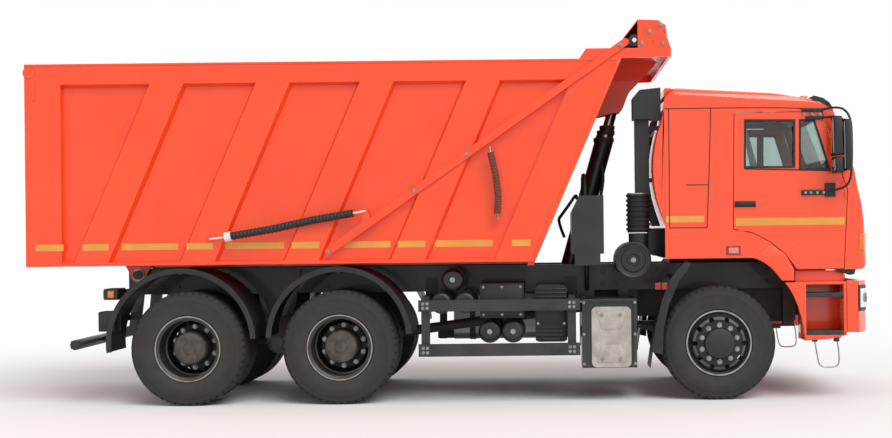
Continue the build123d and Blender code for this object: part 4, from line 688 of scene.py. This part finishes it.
# sun visor: a bent dark acrylic sheet on two end cheeks
VISOR_LINE = ((3484, 2880), (3572, 2856), (3632, 2812), (3664, 2760), (3654, 2757), (3624, 2804), (3567, 2845),
              (3484, 2868))
CHEEK_LINE = ((3484, 2874), (3580, 2840), (3664, 2752), (3650, 2690), (3566, 2656), (3542, 2700), (3446, 2775))
gather("sun_visor", guard_plastic, "cab", [plate(VISOR_LINE, -1, 1228, -2456)] +
       [plate(CHEEK_LINE, -1, -y, -26, edge=8) for y in (-1230, 1204)])
for side, side_name in SIDES:
    gather("cab_tape_" + side_name, amber_tape, "cab", [plate(oblong(2072, 1692, 2431, 1752), side, 1234, 2)])
    gather("side_marker_frame_" + side_name, red_lens, "cab",
           [plate(oblong(2640, 1378, 2776, 1464), side, 1234, 12, edge=5)])
    gather("side_marker_lens_" + side_name, pale_lens, "cab",
           [plate(oblong(2662, 1394, 2754, 1448), side, 1245, 5, edge=3)])
    gather("step_hinge_" + side_name, guard_plastic, "cab",
           [plate(((3698, 1238), (3870, 1238), (3856, 1184), (3812, 1176), (3700, 1212)), side, 1150, 60, edge=6)])
    gather("indicator_" + side_name, amber_lens, "cab", [shelf(INDICATOR_PLAN, side, 1420, 150, 2)])
    gather("roof_marker_" + side_name, amber_lens, "cab", [side_block(side, 900, 980, 3400, 3470, 2868, 2900, 8)])
gather("sun_visor_bolts", zinc_plate, "cab",
       [turned(disc(y, 6, 9), (3560, 0, 2836), 10) for y in (-1066, 1060)])
gather("roof_hatch", cab_enamel, "cab",
       [slab([(2450, -330, 2944), (2450, 330, 2944), (2960, 330, 2917), (2960, -330, 2917)], (0, 0, 26), edge=10)])
gather("grille_mesh", guard_plastic, "cab",
       [slab([(x, -752, z), (x, 752, z), (x - 8, 752, z + 48), (x - 8, -752, z + 48)], (5, 0, 0), edge=3)
        for x, z in ((3946, 1701), (3931, 1791), (3916, 1881), (3901, 1971))])
gather("front_panel_seam", seal_rubber, "cab",
       [block((3.955, -1.16, 1.660), (3.9575, 1.16, 1.668), 0.001),
        block((3.966, -1.16, 1.292), (3.9765, 1.16, 1.300), 0.001)])

# Glass, windscreen seal and wipers.
# Laminated windscreen with a faint green tint, tempered side glass, each in a black rubber seal; the
# two wipers have black steel arms and rubber blades and park along the lower edge.
window_glass = finish("tinted_laminated_glass", "#c9d8d4", "#c4d3cf", 500, 50, 0.0, 0.02, transmission_weight=1.0,
                      ior=1.5)
dress(window_glass, "cab_glass", "door_glass_right", "door_glass_left")
screen = [(3848, -1085, 2148), (3848, 1085, 2148), (3654, 1085, 2728), (3654, -1085, 2728)]
gather("windscreen_seal", seal_rubber, "cab", [slab(screen, (12, 0, 4), rim=34, edge=3)])
gather("rear_window_seal", seal_rubber, "cab", [facing_out(2064, -655, 655, 2205, 2635, -12, rim=30, edge=3)])
wipers = []
for pivot, tip in ((-330, -950), (420, -200)):
    wipers.append(pipe([(3868, pivot, 2120), (3868, (2 * pivot + tip) / 3, 2150), (3862, (pivot + tip) / 2, 2185)], 9))
    blade = [(3856, tip - 30, 2178), (3856, pivot - 80, 2178), (3848, pivot - 80, 2206), (3848, tip - 30, 2206)]
    wipers.append(slab(blade, (10, 0, 0), edge=2))
    wipers.append(turned([(3860, 0), (3860, 22), (3884, 18), (3884, 0)], (0, pivot, 2120), 14, "X"))
gather("wipers", seal_rubber, "cab", wipers)

# Cab interior.
# Grey moulded dashboard and woven seat covers over foam; the headliner is light grey felt.
seat_cloth = finish("woven_grey_seat_cloth", "#3a3a3e", "#2f2f34", 40, 2.5, 0.5, 0.9, sheen_weight=0.3)
felt = finish("light_grey_felt", "#a5a4a2", "#9b9a98", 120, 3, 0.4, 0.95)
dress(seat_cloth, "cab_interior")
gather("headliner", felt, "cab",
       [slab([(2200, -1140, 2800), (2200, 1140, 2800), (3420, 1140, 2768), (3420, -1140, 2768)], (0, 0, 8))])
gather("pillar_trims", felt, "cab",
       [plate(((2890, 2180), (2960, 2180), (2860, 2560), (2820, 2560)), side, 1150, 12)
        for side in (-1, 1)])
seat_pads = []
for y in (-750, 750):
    for low, high in (((2.66, y / 1000 - 0.24, 1.80), (3.14, y / 1000 + 0.24, 1.91)),
                      ((2.55, y / 1000 - 0.215, 2.52), (2.68, y / 1000 + 0.215, 2.72))):
        pad = block(low, high, 0.03)
        crown = pad.modifiers.new("crown", "SUBSURF")
        crown.levels = crown.render_levels = 2
        bpy.ops.object.modifier_apply(modifier="crown")
        seat_pads.append(pad)
cushions = gather("seat_cushions", seat_cloth, "cab", seat_pads)

# Doors.
# Pressed steel skins in the cab's enamel. Each has a black pull handle in a moulded cup with a zinc
# lock barrel, black rubber round its two panes, and an amber tape along the crease.
DOOR_MAIN = ((2814, 2199), (2820, 2662), (3306, 2657), (3301, 2194))
DOOR_QUARTER = ((3334, 2175), (3339, 2657), (3490, 2655), (3637, 2171))
for side, side_name in SIDES:
    door = "door_" + side_name
    gather("door_seals_" + side_name, seal_rubber, door,
           [plate(pane, side, 1228, 11, rim=20, edge=3) for pane in (DOOR_MAIN, DOOR_QUARTER)] +
           [plate(((2816, 2186), (3640, 2160), (3640, 2174), (2816, 2200)), side, 1232, 6, edge=2)])
    gather("door_tape_" + side_name, amber_tape, door,
           [plate(((2732, 1655), (3762, 1655), (3764, 1725), (2732, 1725)), side, 1234, 2)])
    cup = [plate(oblong(2722, 1829, 2924, 1886), side, 1233, 6, edge=3),
           plate(oblong(2730, 1848, 2920, 1868), side, 1248, 16, edge=5)]
    cup += [side_block(side, 1238, 1256, x, x + 24, 1846, 1870, 3) for x in (2732, 2894)]
    gather("door_handle_" + side_name, guard_plastic, door, cup)
    gather("door_lock_" + side_name, zinc_plate, door,
           [turned(outwards(side, (1238, 0), (1238, 13), (1246, 11), (1246, 0)), (2792, 0, 1859), 16)])
    gather("door_crease_" + side_name, cab_enamel, door,
           [plate(oblong(2732, 1600, 3762, 1612), side, 1234, 5, edge=4)])
    gather("door_hinges_" + side_name, cab_enamel, door,
           [turned(disc(z, 70, 14), (3772, side * 1236, 0), 12, "Z") for z in (1330, 1900)])

# Mirrors.
# Black moulded shells on bent steel tubes, clamped to the door by painted brackets with bright bolts.
# The glass faces back.
mirror_glass = finish("silvered_mirror_glass", "#c8ccd0", "#c4c8cc", 200, 50, 0.0, 0.03, metallic=1.0)
dress(guard_plastic, "mirrors_right", "mirrors_left")
SHELLS = ((((3622, 2300), (3616, 2671), (3700, 2665), (3712, 2310)), 1318, 1500),
          (((3632, 2136), (3630, 2286), (3705, 2284), (3713, 2140)), 1318, 1500),
          (((3724, 2152), (3722, 2640), (3783, 2632), (3790, 2164)), 1332, 1512))
ARMS = (((3560, 1250, 2742), (3640, 1310, 2762), (3740, 1390, 2742), (3796, 1425, 2640), (3800, 1425, 2420),
         (3798, 1425, 2200), (3785, 1400, 2050), (3720, 1320, 1986), (3620, 1262, 1975)),
        ((3560, 1250, 2667), (3650, 1330, 2680), (3720, 1400, 2640)), ((3715, 1400, 2220), (3780, 1410, 2230)))
BRACKETS = (oblong(3364, 2722, 3567, 2758), oblong(3401, 2650, 3566, 2684), oblong(3356, 1936, 3568, 1985),
            oblong(3577, 1919, 3675, 2049))
for side, side_name in SIDES:
    door = "door_" + side_name
    made = gather("mirror_housings_" + side_name, guard_plastic, door,
                  [plate(outline, side, near, far - near, edge=22) for outline, near, far in SHELLS])
    arms = gather("mirror_arms_" + side_name, guard_plastic, door,
                  [pipe([(x, side * y, z) for x, y, z in route], 11) for route in ARMS] +
                  [plate(bracket, side, 1234, 24, edge=4) for bracket in BRACKETS])
    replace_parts(made, "mirrors_" + side_name)
    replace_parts(arms, "mirrors_" + side_name)
    panes = []
    for ((foot_x, foot_z), (head_x, head_z), _, _), near, far in SHELLS:
        inner, outer = side * (near + 18), side * (far - 18)
        panes.append(slab([(foot_x - 1, inner, foot_z + 24), (foot_x - 1, outer, foot_z + 24),
                           (head_x - 1, outer, head_z - 24), (head_x - 1, inner, head_z - 24)], (-4, 0, 0), edge=2))
    gather("mirror_panes_" + side_name, mirror_glass, door, panes)
    screws("mirror_bolts_" + side_name, zinc_plate, door, FACING[side], 0.02,
           [(x, side * 1.265, z) for x, z in ((3.385, 2.7), (3.46, 2.7), (3.53, 2.7), (3.39, 1.96), (3.44, 1.96),
                                              (3.50, 1.96), (3.56, 1.96))], sides=10)

# Air intake stack and bellows.
# A blow-moulded polyethylene duct, joined by a ribbed rubber bellows and a band clamp to the air
# cleaner below, so that the cab can move on its springs.
intake_rubber = finish("ribbed_intake_rubber", "#0c0c0d", "#131314", 80, 2, 0.1, 0.65)
dress(guard_plastic, "intake_stack")
dress(intake_rubber, "intake_bellows")
gather("bellows_ribs", intake_rubber, "cab",
       [turned([(z, 100), (z + 12, 118), (z + 26, 118), (z + 38, 100)], (1824, -1000, 0), 28, "Z")
        for z in range(1612, 1940, 46)])
gather("bellows_clamps", zinc_plate, "cab", [turned(disc(1962, 16, 108, 99), (1824, -1000, 0), 28, "Z")])

# Bed: floor, side walls and front wall.
# Welded plate, pressed where it is ribbed, in the same orange enamel sprayed over bare welds: the
# sheet is faintly wavy, and the lower edge is turned up into a lip that catches the light.
bed_enamel = finish("orange_bed_enamel", "#f4470f", "#ea4311", 600, 60, 0.5, 0.34, coat_weight=0.4)
worn_floor = finish("scoured_bed_plate", "#6e625b", "#8a4a34", 340, 8, 0.3, 0.5, metallic=0.4)
dress(bed_enamel, "bed_side_right", "bed_side_left", "bed_front", "bed_floor")


def bed_front_x(z):
    """X of the bed's slanted front edge at a height, in millimetres."""
    return 829 + (z - 1335) * 844 / 1929


# the ribs' front edges at the height where they are measured, their slope and their width
RIB_EDGES = (-2493, -1488, -505, 501)
RIB_MEASURED_AT = 3017
RIB_SLOPE = 0.4315
RIB_WIDTH = 320
# the smooth posts at both ends of the bed's side, between which the ribs stand
REAR_POST_X = -3640
FRONT_POST_WIDTH = 390
WELD_PITCH = 110
TAPE_FOOT, TAPE_TOP = 1484, 1545


def rib_x(edge, z):
    """X of a rib's front edge at a height, in millimetres."""
    return edge + (z - RIB_MEASURED_AT) * RIB_SLOPE


# strips of tape: where each starts and ends, and |Y| of the wall that it is on
TAPES = ((-3887, -3623, 1250), (-3443, -3200, 1250), (-3088, -2554, 1190), (-2462, -2215, 1250), (-2110, -1552, 1190),
         (-1468, -1206, 1250), (-985, -541, 1190), (-465, -205, 1250), (-120, 430, 1190), (613, 789, 1250))
gather("bed_floor_wear", worn_floor, "bed",
       [slab([(-3880, -1150, 1460), (-3880, 1150, 1460), (800, 1150, 1460), (800, -1150, 1460)], (0, 0, 3))])
for side, side_name in SIDES:
    lips = [plate(((-3975, 1336), (bed_front_x(1336), 1336), (bed_front_x(1354), 1354), (-3975, 1354)),
                  side, 1249, 7, edge=6),
            plate(((bed_front_x(1340) - 43, 1340), (bed_front_x(1340), 1340), (bed_front_x(3250), 3250),
                   (bed_front_x(3250) - 43, 3250)), side, 1248, 9, edge=5),
            plate(((-3980, 3228), (bed_front_x(3228), 3228), (bed_front_x(3250), 3250), (-3980, 3250)),
                  side, 1248, 8, edge=5)]
    # turned-in edges of each recessed panel: sloping strips beside every rib, and a bottom ledge
    for edge in RIB_EDGES:
        for shift, lean in ((0, 26), (-RIB_WIDTH, -26)):
            foot, head = rib_x(edge, 1345) + shift, rib_x(edge, 3050) + shift
            lips.append(slab([(foot, side * 1249, 1345), (head, side * 1249, 3050), (head + lean, side * 1191, 3050),
                              (foot + lean, side * 1191, 1345)], (0, -side * 2, 0)))
    top_front_x = bed_front_x(3055) - FRONT_POST_WIDTH
    lips.append(slab([(REAR_POST_X, side * 1249, 3055), (top_front_x, side * 1249, 3055),
                      (top_front_x, side * 1191, 3030), (REAR_POST_X, side * 1191, 3030)], (0, -side * 2, 0)))
    lips.append(plate(((REAR_POST_X, 1337), (bed_front_x(1337) - 380, 1337), (bed_front_x(1372) - 380, 1372),
                       (REAR_POST_X, 1372)), side, 1190, 58, edge=14))
    gather("bed_lips_" + side_name, bed_enamel, "bed", lips)
    # plug welds between the ribs show as two dotted lines
    dots = []
    for z in (2655, 2078):
        starts = [REAR_POST_X] + [rib_x(edge, z) for edge in RIB_EDGES]
        ends = [rib_x(edge, z) - RIB_WIDTH for edge in RIB_EDGES] + [bed_front_x(z) - FRONT_POST_WIDTH]
        for first, last in zip(starts, ends):
            x = first + 60
            while x < last - 40:
                dots.append((x / 1000, side * 1.1905, z / 1000))
                x += WELD_PITCH
    bpy.ops.mesh.primitive_uv_sphere_add(segments=8, ring_count=4, radius=0.009, location=(0, 0, 0),
                                         scale=(1, 0.25, 0.7))
    seed = bpy.context.object
    bpy.ops.object.transform_apply(location=False, rotation=False, scale=True)
    at_each(seed, dots)
    settle("bed_plug_welds_" + side_name, bed_enamel, "bed")
    gather("bed_tape_" + side_name, amber_tape, "bed",
           [plate(oblong(first, TAPE_FOOT, last, TAPE_TOP), side, wall - 1, 3) for first, last, wall in TAPES])
    gather("tailgate_hinge_bosses_" + side_name, bed_enamel, "bed", [
        turned(outwards(side, (1245, 0), (1245, 62), (1256, 56), (1262, 30), (1262, 0)), (-3935, 0, 3170), 28),
        plate(oblong(-3910, 2900, -3878, 3090), side, 1249, 8, edge=3)])
gather("bed_ear_pins", zinc_plate, "bed",
       [turned(disc(side * 486, side * 14, 60), (-3130, 0, 1230), 24) for side in (-1, 1)])

# Visor, hoist gussets and tarpaulin housing.
# Folded plate over the gap to the cab, stiffened by a pair of gussets that also take the hoist's
# upper pin. Bolted end plates carry the rolled tarpaulin under a folded cover.
dress(bed_enamel, "visor")
GUSSET = ((1464, 2785), (1667, 3250), (1667, 3330), (2080, 3330), (1811, 3051), (1772, 2978), (1730, 2865),
          (1699, 2829))
gather("hoist_gussets", bed_enamel, "bed", [plate(GUSSET, side, 131, 5) for side in (-1, 1)])
COVER = ((1684, 3441), (1821, 3613), (2013, 3606), (2086, 3559), (2093, 3509), (2099, 3443), (2134, 3345))
COVER_INNER = ((2122, 3345), (2091, 3440), (2085, 3508), (2078, 3554), (2010, 3598), (1825, 3605), (1690, 3436))
PLATE_LINE = ((1821, 3345),) + COVER[1:]
housing = [plate(COVER + COVER_INNER, -1, 1249, -2498)]
housing += [plate(PLATE_LINE, -1, -y, -14, edge=3) for y in (-1250, -420, 406, 1236)]
made = gather("tarpaulin_housing", bed_enamel, "bed", housing)
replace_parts(made, "tarp_roller_box")
screws("housing_bolts", zinc_plate, "bed", "-Y", 0.03,
       [(x, -1.252, z) for x, z in ((1.935, 3.5), (1.86, 3.39), (2.06, 3.39), (2.04, 3.56))])
tarpaulin = finish("black_pvc_tarpaulin", "#1a1a1b", "#262626", 160, 1.2, 0.15, 0.55)
white_cap = finish("white_nylon_bush", "#dededa", "#d2d2ce", 40, 4, 0.05, 0.4)
gather("tarpaulin_roll", tarpaulin, "bed",
       [turned([(-1232, 0), (-1232, 56), (-1180, 62), (-600, 58), (0, 63), (600, 58), (1180, 62), (1232, 56),
                (1232, 0)], (1790, 0, 3420), 32)])
gather("tarpaulin_roll_bushes", white_cap, "bed",
       [turned(outwards(side, (1232, 0), (1232, 22), (1258, 20), (1258, 0)), (1790, 0, 3420), 20)
        for side in (-1, 1)])

# Tarpaulin bow and its return springs.
# A flat steel bar pivots on each side and draws the sheet over the load. On each side a long coil
# spring in a wrinkled black sleeve and a short one in a braided brown sleeve pull it back.
dress(bed_enamel, "tarp_bow")
spring_sleeve = finish("black_sleeved_spring", "#161616", "#232322", 60, 4, 0.4, 0.6)
braided_sleeve = finish("brown_braided_sleeve", "#5e2f26", "#7a4233", 14, 3, 0.6, 0.8)
for side, side_name in SIDES:
    y = side * 1298
    gather("bow_spring_" + side_name, spring_sleeve, "bed",
           [pipe([(-2040, y, 1606), (-1650, y, 1668), (-1250, y, 1752), (-880, y, 1811)], 40, ridges=34)])
    gather("bow_spring_ends_" + side_name, white_cap, "bed",
           [pipe([(-2240, side * 1262, 1583), (-2140, y, 1590), (-2060, y, 1603)], 10),
            pipe([(-2088, y, 1597), (-2030, y, 1608)], 47),
            pipe([(-890, y, 1809), (-840, y, 1818), (-764, side * 1285, 1831)], 10)])
    gather("bow_short_spring_" + side_name, braided_sleeve, "bed",
           [pipe([(421, y, 2370), (468, y, 2160), (490, y, 1960), (480, y, 1790)], 36, ridges=22)])
    gather("bow_short_spring_ends_" + side_name, zinc_plate, "bed",
           [pipe([(415, side * 1285, 2420), (421, y, 2350)], 13), pipe([(480, y, 1810), (486, side * 1262, 1750)], 13)])
    gather("bow_spring_brackets_" + side_name, bed_enamel, "bed",
           [plate(oblong(-2262, 1560, -2216, 1606), side, 1248, 24, edge=4),
            plate(oblong(462, 1728, 510, 1778), side, 1248, 24, edge=4),
            plate(((-1140, 1478), (-1080, 1438), (-700, 1720), (-754, 1850), (-790, 1846), (-800, 1730)),
                  side, 1275, 6, edge=2)])
    screws("bow_bolts_" + side_name, zinc_plate, "bed", FACING[side], 0.028,
           [(x, side * 1.275, z) for x, z in ((-1.113, 1.453), (-0.299, 2.016), (0.198, 2.360), (1.660, 3.371))],
           sides=10)

# Tailgate.
# A plate door with pressed frame and ribs, hung from the two top pins, in the bed's enamel.
dress(bed_enamel, "tailgate")
ribs = [facing_out(-3968, -1160, 1160, 1350, 3036, -20, rim=80, edge=6),
        block((-3.991, -1.12, 2.14), (-3.968, 1.12, 2.25), 0.006)]
ribs += [block((-3.9865, (y - 45) / 1000, 1.40), (-3.968, (y + 45) / 1000, 3.0), 0.006) for y in (-550, 0, 550)]
gather("tailgate_ribs", bed_enamel, "tailgate", ribs)
gather("tailgate_tape", amber_tape, "tailgate",
       [facing_out(-3970, y, y + 400, 1470, 1530, -3) for y in (-1040, -480, 80, 640)])
gather("tailgate_latches", zinc_plate, "tailgate",
       [turned(disc(side * 1080, side * 70, 24), (-3990, 0, 1400), 16) for side in (-1, 1)])

# Hoist.
# A telescopic cylinder: a black enamelled barrel, and stages of hard-chromed steel that polish
# to a bright grey, each with a wiper ring in its mouth.
hard_chrome = finish("hard_chromed_steel", "#b4b6b8", "#a4a6a8", 100, 2, 0.004, 0.16, metallic=1.0)
dress(chassis_enamel, "hoist_barrel")
dress(hard_chrome, "hoist_stage_one", "hoist_stage_two", "hoist_stage_three")
HOIST_FOOT = Vector((1100, 0, 1000))
hoist_line = (Vector((1645, 0, 2910)) - HOIST_FOOT).normalized()
for body, radius, at in (("hoist_barrel", 103, 1590), ("hoist_stage_one", 90, 1668), ("hoist_stage_two", 76, 1720)):
    collar = turned([(0, radius - 26), (0, radius), (10, radius + 3), (40, radius + 3), (46, radius - 4),
                     (46, radius - 26)], (0, 0, 0), 32, "Z")
    collar.rotation_euler = (0, hoist_line.to_track_quat("Z", "Y").to_euler().y, 0)
    collar.location = (HOIST_FOOT + hoist_line * at) / 1000
    gather(body + "_collar", casting_iron, body, [collar])
gather("hoist_hose", pipe_enamel, "hoist_barrel",
       [pipe([(1330, -60, 1480), (1400, -150, 1500), (1440, -190, 1700), (1500, -190, 2000), (1530, -150, 2200),
              (1500, -80, 2300)], 17)])

# Wheels.
# Pressed steel discs and rims in silver-grey enamel, darkened by brake dust and by painted shade in the
# gaps behind the rims, with zinc-plated nuts; radial tyres of black rubber that road dust has browned, worn smooth on
# the crown.
NUTS = [(cos(a), sin(a)) for a in (2 * pi * i / 10 + 0.31 for i in range(10))]
AXLE_HEIGHT = 541
# half of the tyre's section from the bead to the crown: distance from its middle, radius
TYRE_HALF = ((122, 313), (136, 322), (141, 333), (139, 342), (149, 366), (156, 400), (157.5, 438), (155, 452),
             (157, 458), (154, 464), (150, 486), (145, 500), (146, 506), (138, 516), (130, 530), (121, 538),
             (108, 540.5), (78, 541), (76, 528), (66, 528), (64, 541), (26, 541), (24, 528), (14, 528), (12, 541))
TYRE_SEGMENTS = 144
LUG_DEPTH = 0.011


def round_axle(tree, place, centre_x):
    """The distance from a wheel's axle, as a shader output in metres."""
    spot = node(tree, "Mapping", {"Vector": place, "Location": (-centre_x / 1000, 0, -AXLE_HEIGHT / 1000),
                                  "Scale": (1, 0, 1)})
    return node(tree, "VectorMath", {0: spot.outputs[0]}, operation="LENGTH").outputs["Value"]


def rubber(colour, dust, centre_x):
    """Tyre rubber: dusty brown-grey walls, less dusty towards the crown, with fine moulded rings."""
    made, tree = bare_material("tyre_rubber_at_%d" % centre_x)
    place = node(tree, "TexCoord").outputs["Object"]
    radius = round_axle(tree, place, centre_x)
    patches = node(tree, "TexNoise", {"Vector": place, "Scale": 9.0, "Detail": 5.0})
    rings = node(tree, "Math", {0: radius, 1: 2 * pi / 0.012}, operation="MULTIPLY")
    wave = node(tree, "Math", {0: rings.outputs[0]}, operation="SINE")
    band = node(tree, "MapRange", {"Value": radius, "From Min": 0.32, "From Max": 0.44, "To Min": 0.9, "To Max": 0.35})
    mix = node(tree, "Math", {0: patches.outputs[0], 1: band.outputs[0]}, operation="MULTIPLY")
    tone = node(tree, "Mix", {0: mix.outputs[0], 6: linear(colour), 7: linear(dust)}, data_type="RGBA")
    grain = node(tree, "TexNoise", {"Vector": place, "Scale": 350.0, "Detail": 2.0})
    height = node(tree, "Math", {0: wave.outputs[0], 1: grain.outputs[0]}, operation="ADD")
    relief = node(tree, "Bump", {"Height": height.outputs[0], "Distance": 0.0004})
    surface = node(tree, "BsdfPrincipled", {"Base Color": tone.outputs[2], "Roughness": 0.82,
                                            "Normal": relief.outputs[0]})
    node(tree, "OutputMaterial", {"Surface": surface.outputs[0]})
    return made


def wheel_enamel_and_painted_shade(name, centre_x, bands):
    """Wheel enamel whose tone follows the stamped rings, with near-black rings of painted shade where the disc sinks
    behind the rim: (outer radius in mm, colour), from the hub out.
    """
    made, tree = bare_material(name)
    place = node(tree, "TexCoord").outputs["Object"]
    radius = round_axle(tree, place, centre_x)
    ramp = node(tree, "ValToRGB", {"Fac": radius})
    ramp.color_ramp.interpolation = "CONSTANT"
    stops = ramp.color_ramp.elements
    stops[0].position, stops[0].color = 0.0, linear(bands[0][1])
    stops[1].position, stops[1].color = bands[0][0] / 1000, linear(bands[1][1])
    for (edge, _), (_, colour) in zip(bands[1:], bands[2:]):
        stops.new(edge / 1000).color = linear(colour)
    patches = node(tree, "TexNoise", {"Vector": place, "Scale": 14.0, "Detail": 5.0})
    grime = node(tree, "MapRange", {"Value": patches.outputs[0], "From Min": 0.4, "From Max": 0.75, "To Min": 0.0,
                                    "To Max": 0.5})
    tone = node(tree, "Mix", {0: grime.outputs[0], 6: ramp.outputs[0], 7: linear("#2c2825")}, data_type="RGBA")
    surface = node(tree, "BsdfPrincipled", {"Base Color": tone.outputs[2], "Roughness": 0.45, "Metallic": 0.35})
    node(tree, "OutputMaterial", {"Surface": surface.outputs[0]})
    return made


def tyre(centre_x, centre_y):
    """A turned tyre whose shoulders are then cut into lugs."""
    section = [(-d, r) for d, r in TYRE_HALF] + [(d, r) for d, r in reversed(TYRE_HALF)]
    made = turned([(d + centre_y, r) for d, r in section], (centre_x, 0, AXLE_HEIGHT), TYRE_SEGMENTS)
    bpy.ops.object.mode_set(mode="EDIT")
    bpy.ops.mesh.select_mode(type="FACE")
    bpy.ops.mesh.select_all(action="SELECT")
    bpy.ops.mesh.normals_make_consistent(inside=False)
    bpy.ops.mesh.select_all(action="DESELECT")
    close_mesh()
    from_axle = Vector((centre_x, 0, AXLE_HEIGHT)) / 1000
    for face in made.data.polygons:
        spot = face.center - from_axle
        reach = (spot.x ** 2 + spot.z ** 2) ** 0.5
        aside = abs(spot.y - centre_y / 1000)
        segment = int(((pi + atan2(spot.z, spot.x)) / (2 * pi)) * TYRE_SEGMENTS) % 3
        face.select = segment == 0 and aside > 0.112 and reach > 0.515
    bpy.ops.object.mode_set(mode="EDIT")
    bpy.ops.mesh.extrude_region_shrink_fatten(TRANSFORM_OT_shrink_fatten={"value": -LUG_DEPTH})
    bpy.ops.mesh.select_mode(type="VERT")
    close_mesh()
    return made


front_cap_enamel = finish("black_hub_cap_enamel", "#1b1a1a", "#24211f", 80, 3, 0.05, 0.5)
hub_dust = finish("dusty_hub_casting", "#3a3530", "#57504a", 70, 5, 0.4, 0.75)
# painted shade: the near-black rings, 250 to 296 mm out on the front wheels and 222 to 254 mm on the rear, stand for
# the shade in the gap where the disc sinks behind the rim
FRONT_RING_TONES_AND_SHADE = ((224, "#1b1a1a"), (250, "#6f6a65"), (296, "#0c0c0c"), (330, "#a09b95"), (600, "#a09b95"))
REAR_RING_TONES_AND_SHADE = ((112, "#3b3836"), (222, "#1d1b1a"), (254, "#100f0f"), (266, "#8a847e"), (298, "#3c3835"),
              (330, "#a09a94"), (600, "#a09a94"))
FRONT_CAP = ((1206, 0), (1206, 150), (1212, 150), (1240, 138), (1246, 120), (1246, 0))
REAR_CAP = ((917, 0), (917, 166), (940, 166), (1110, 158), (1136, 146), (1146, 120), (1146, 60), (1154, 54), (1154, 0))
# axle, its X, |Y| of its tyres, |Y| of its nuts, radius of their circle, rings, cap and the cap's finish
AXLES = (("front", 2570, (1021,), 1208, 0.174, FRONT_RING_TONES_AND_SHADE, FRONT_CAP, front_cap_enamel),
         ("mid", -1030, (1082, 732), 919, 0.196, REAR_RING_TONES_AND_SHADE, REAR_CAP, hub_dust),
         ("rear", -2470, (1082, 732), 919, 0.196, REAR_RING_TONES_AND_SHADE, REAR_CAP, hub_dust))
for axle_name, x, middles, nut_y, nut_circle, bands, cap, cap_finish in AXLES:
    enamel = wheel_enamel_and_painted_shade("wheel_enamel_and_painted_shade_" + axle_name, x, bands)
    walls = rubber("#232221", "#48423c", x)
    twin = "s" if len(middles) == 2 else ""
    for side, side_name in SIDES:
        stem = "%s_%s" % (axle_name, side_name)
        wheel = "wheel_" + stem
        made = gather(stem + "_tyre" + twin + "_moulded", walls, wheel,
                      [tyre(x, side * middle) for middle in middles])
        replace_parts(made, stem + "_tyre" + twin)
        dress(enamel, stem + "_rim" + twin)
        screws(stem + "_nuts", zinc_plate, wheel, FACING[side], 0.034,
               [(x / 1000 + nut_circle * c, side * nut_y / 1000, AXLE_HEIGHT / 1000 + nut_circle * s) for c, s in NUTS])
        gather(stem + "_hub_cap", cap_finish, wheel, [turned(outwards(side, *cap), (x, 0, AXLE_HEIGHT), 48)])
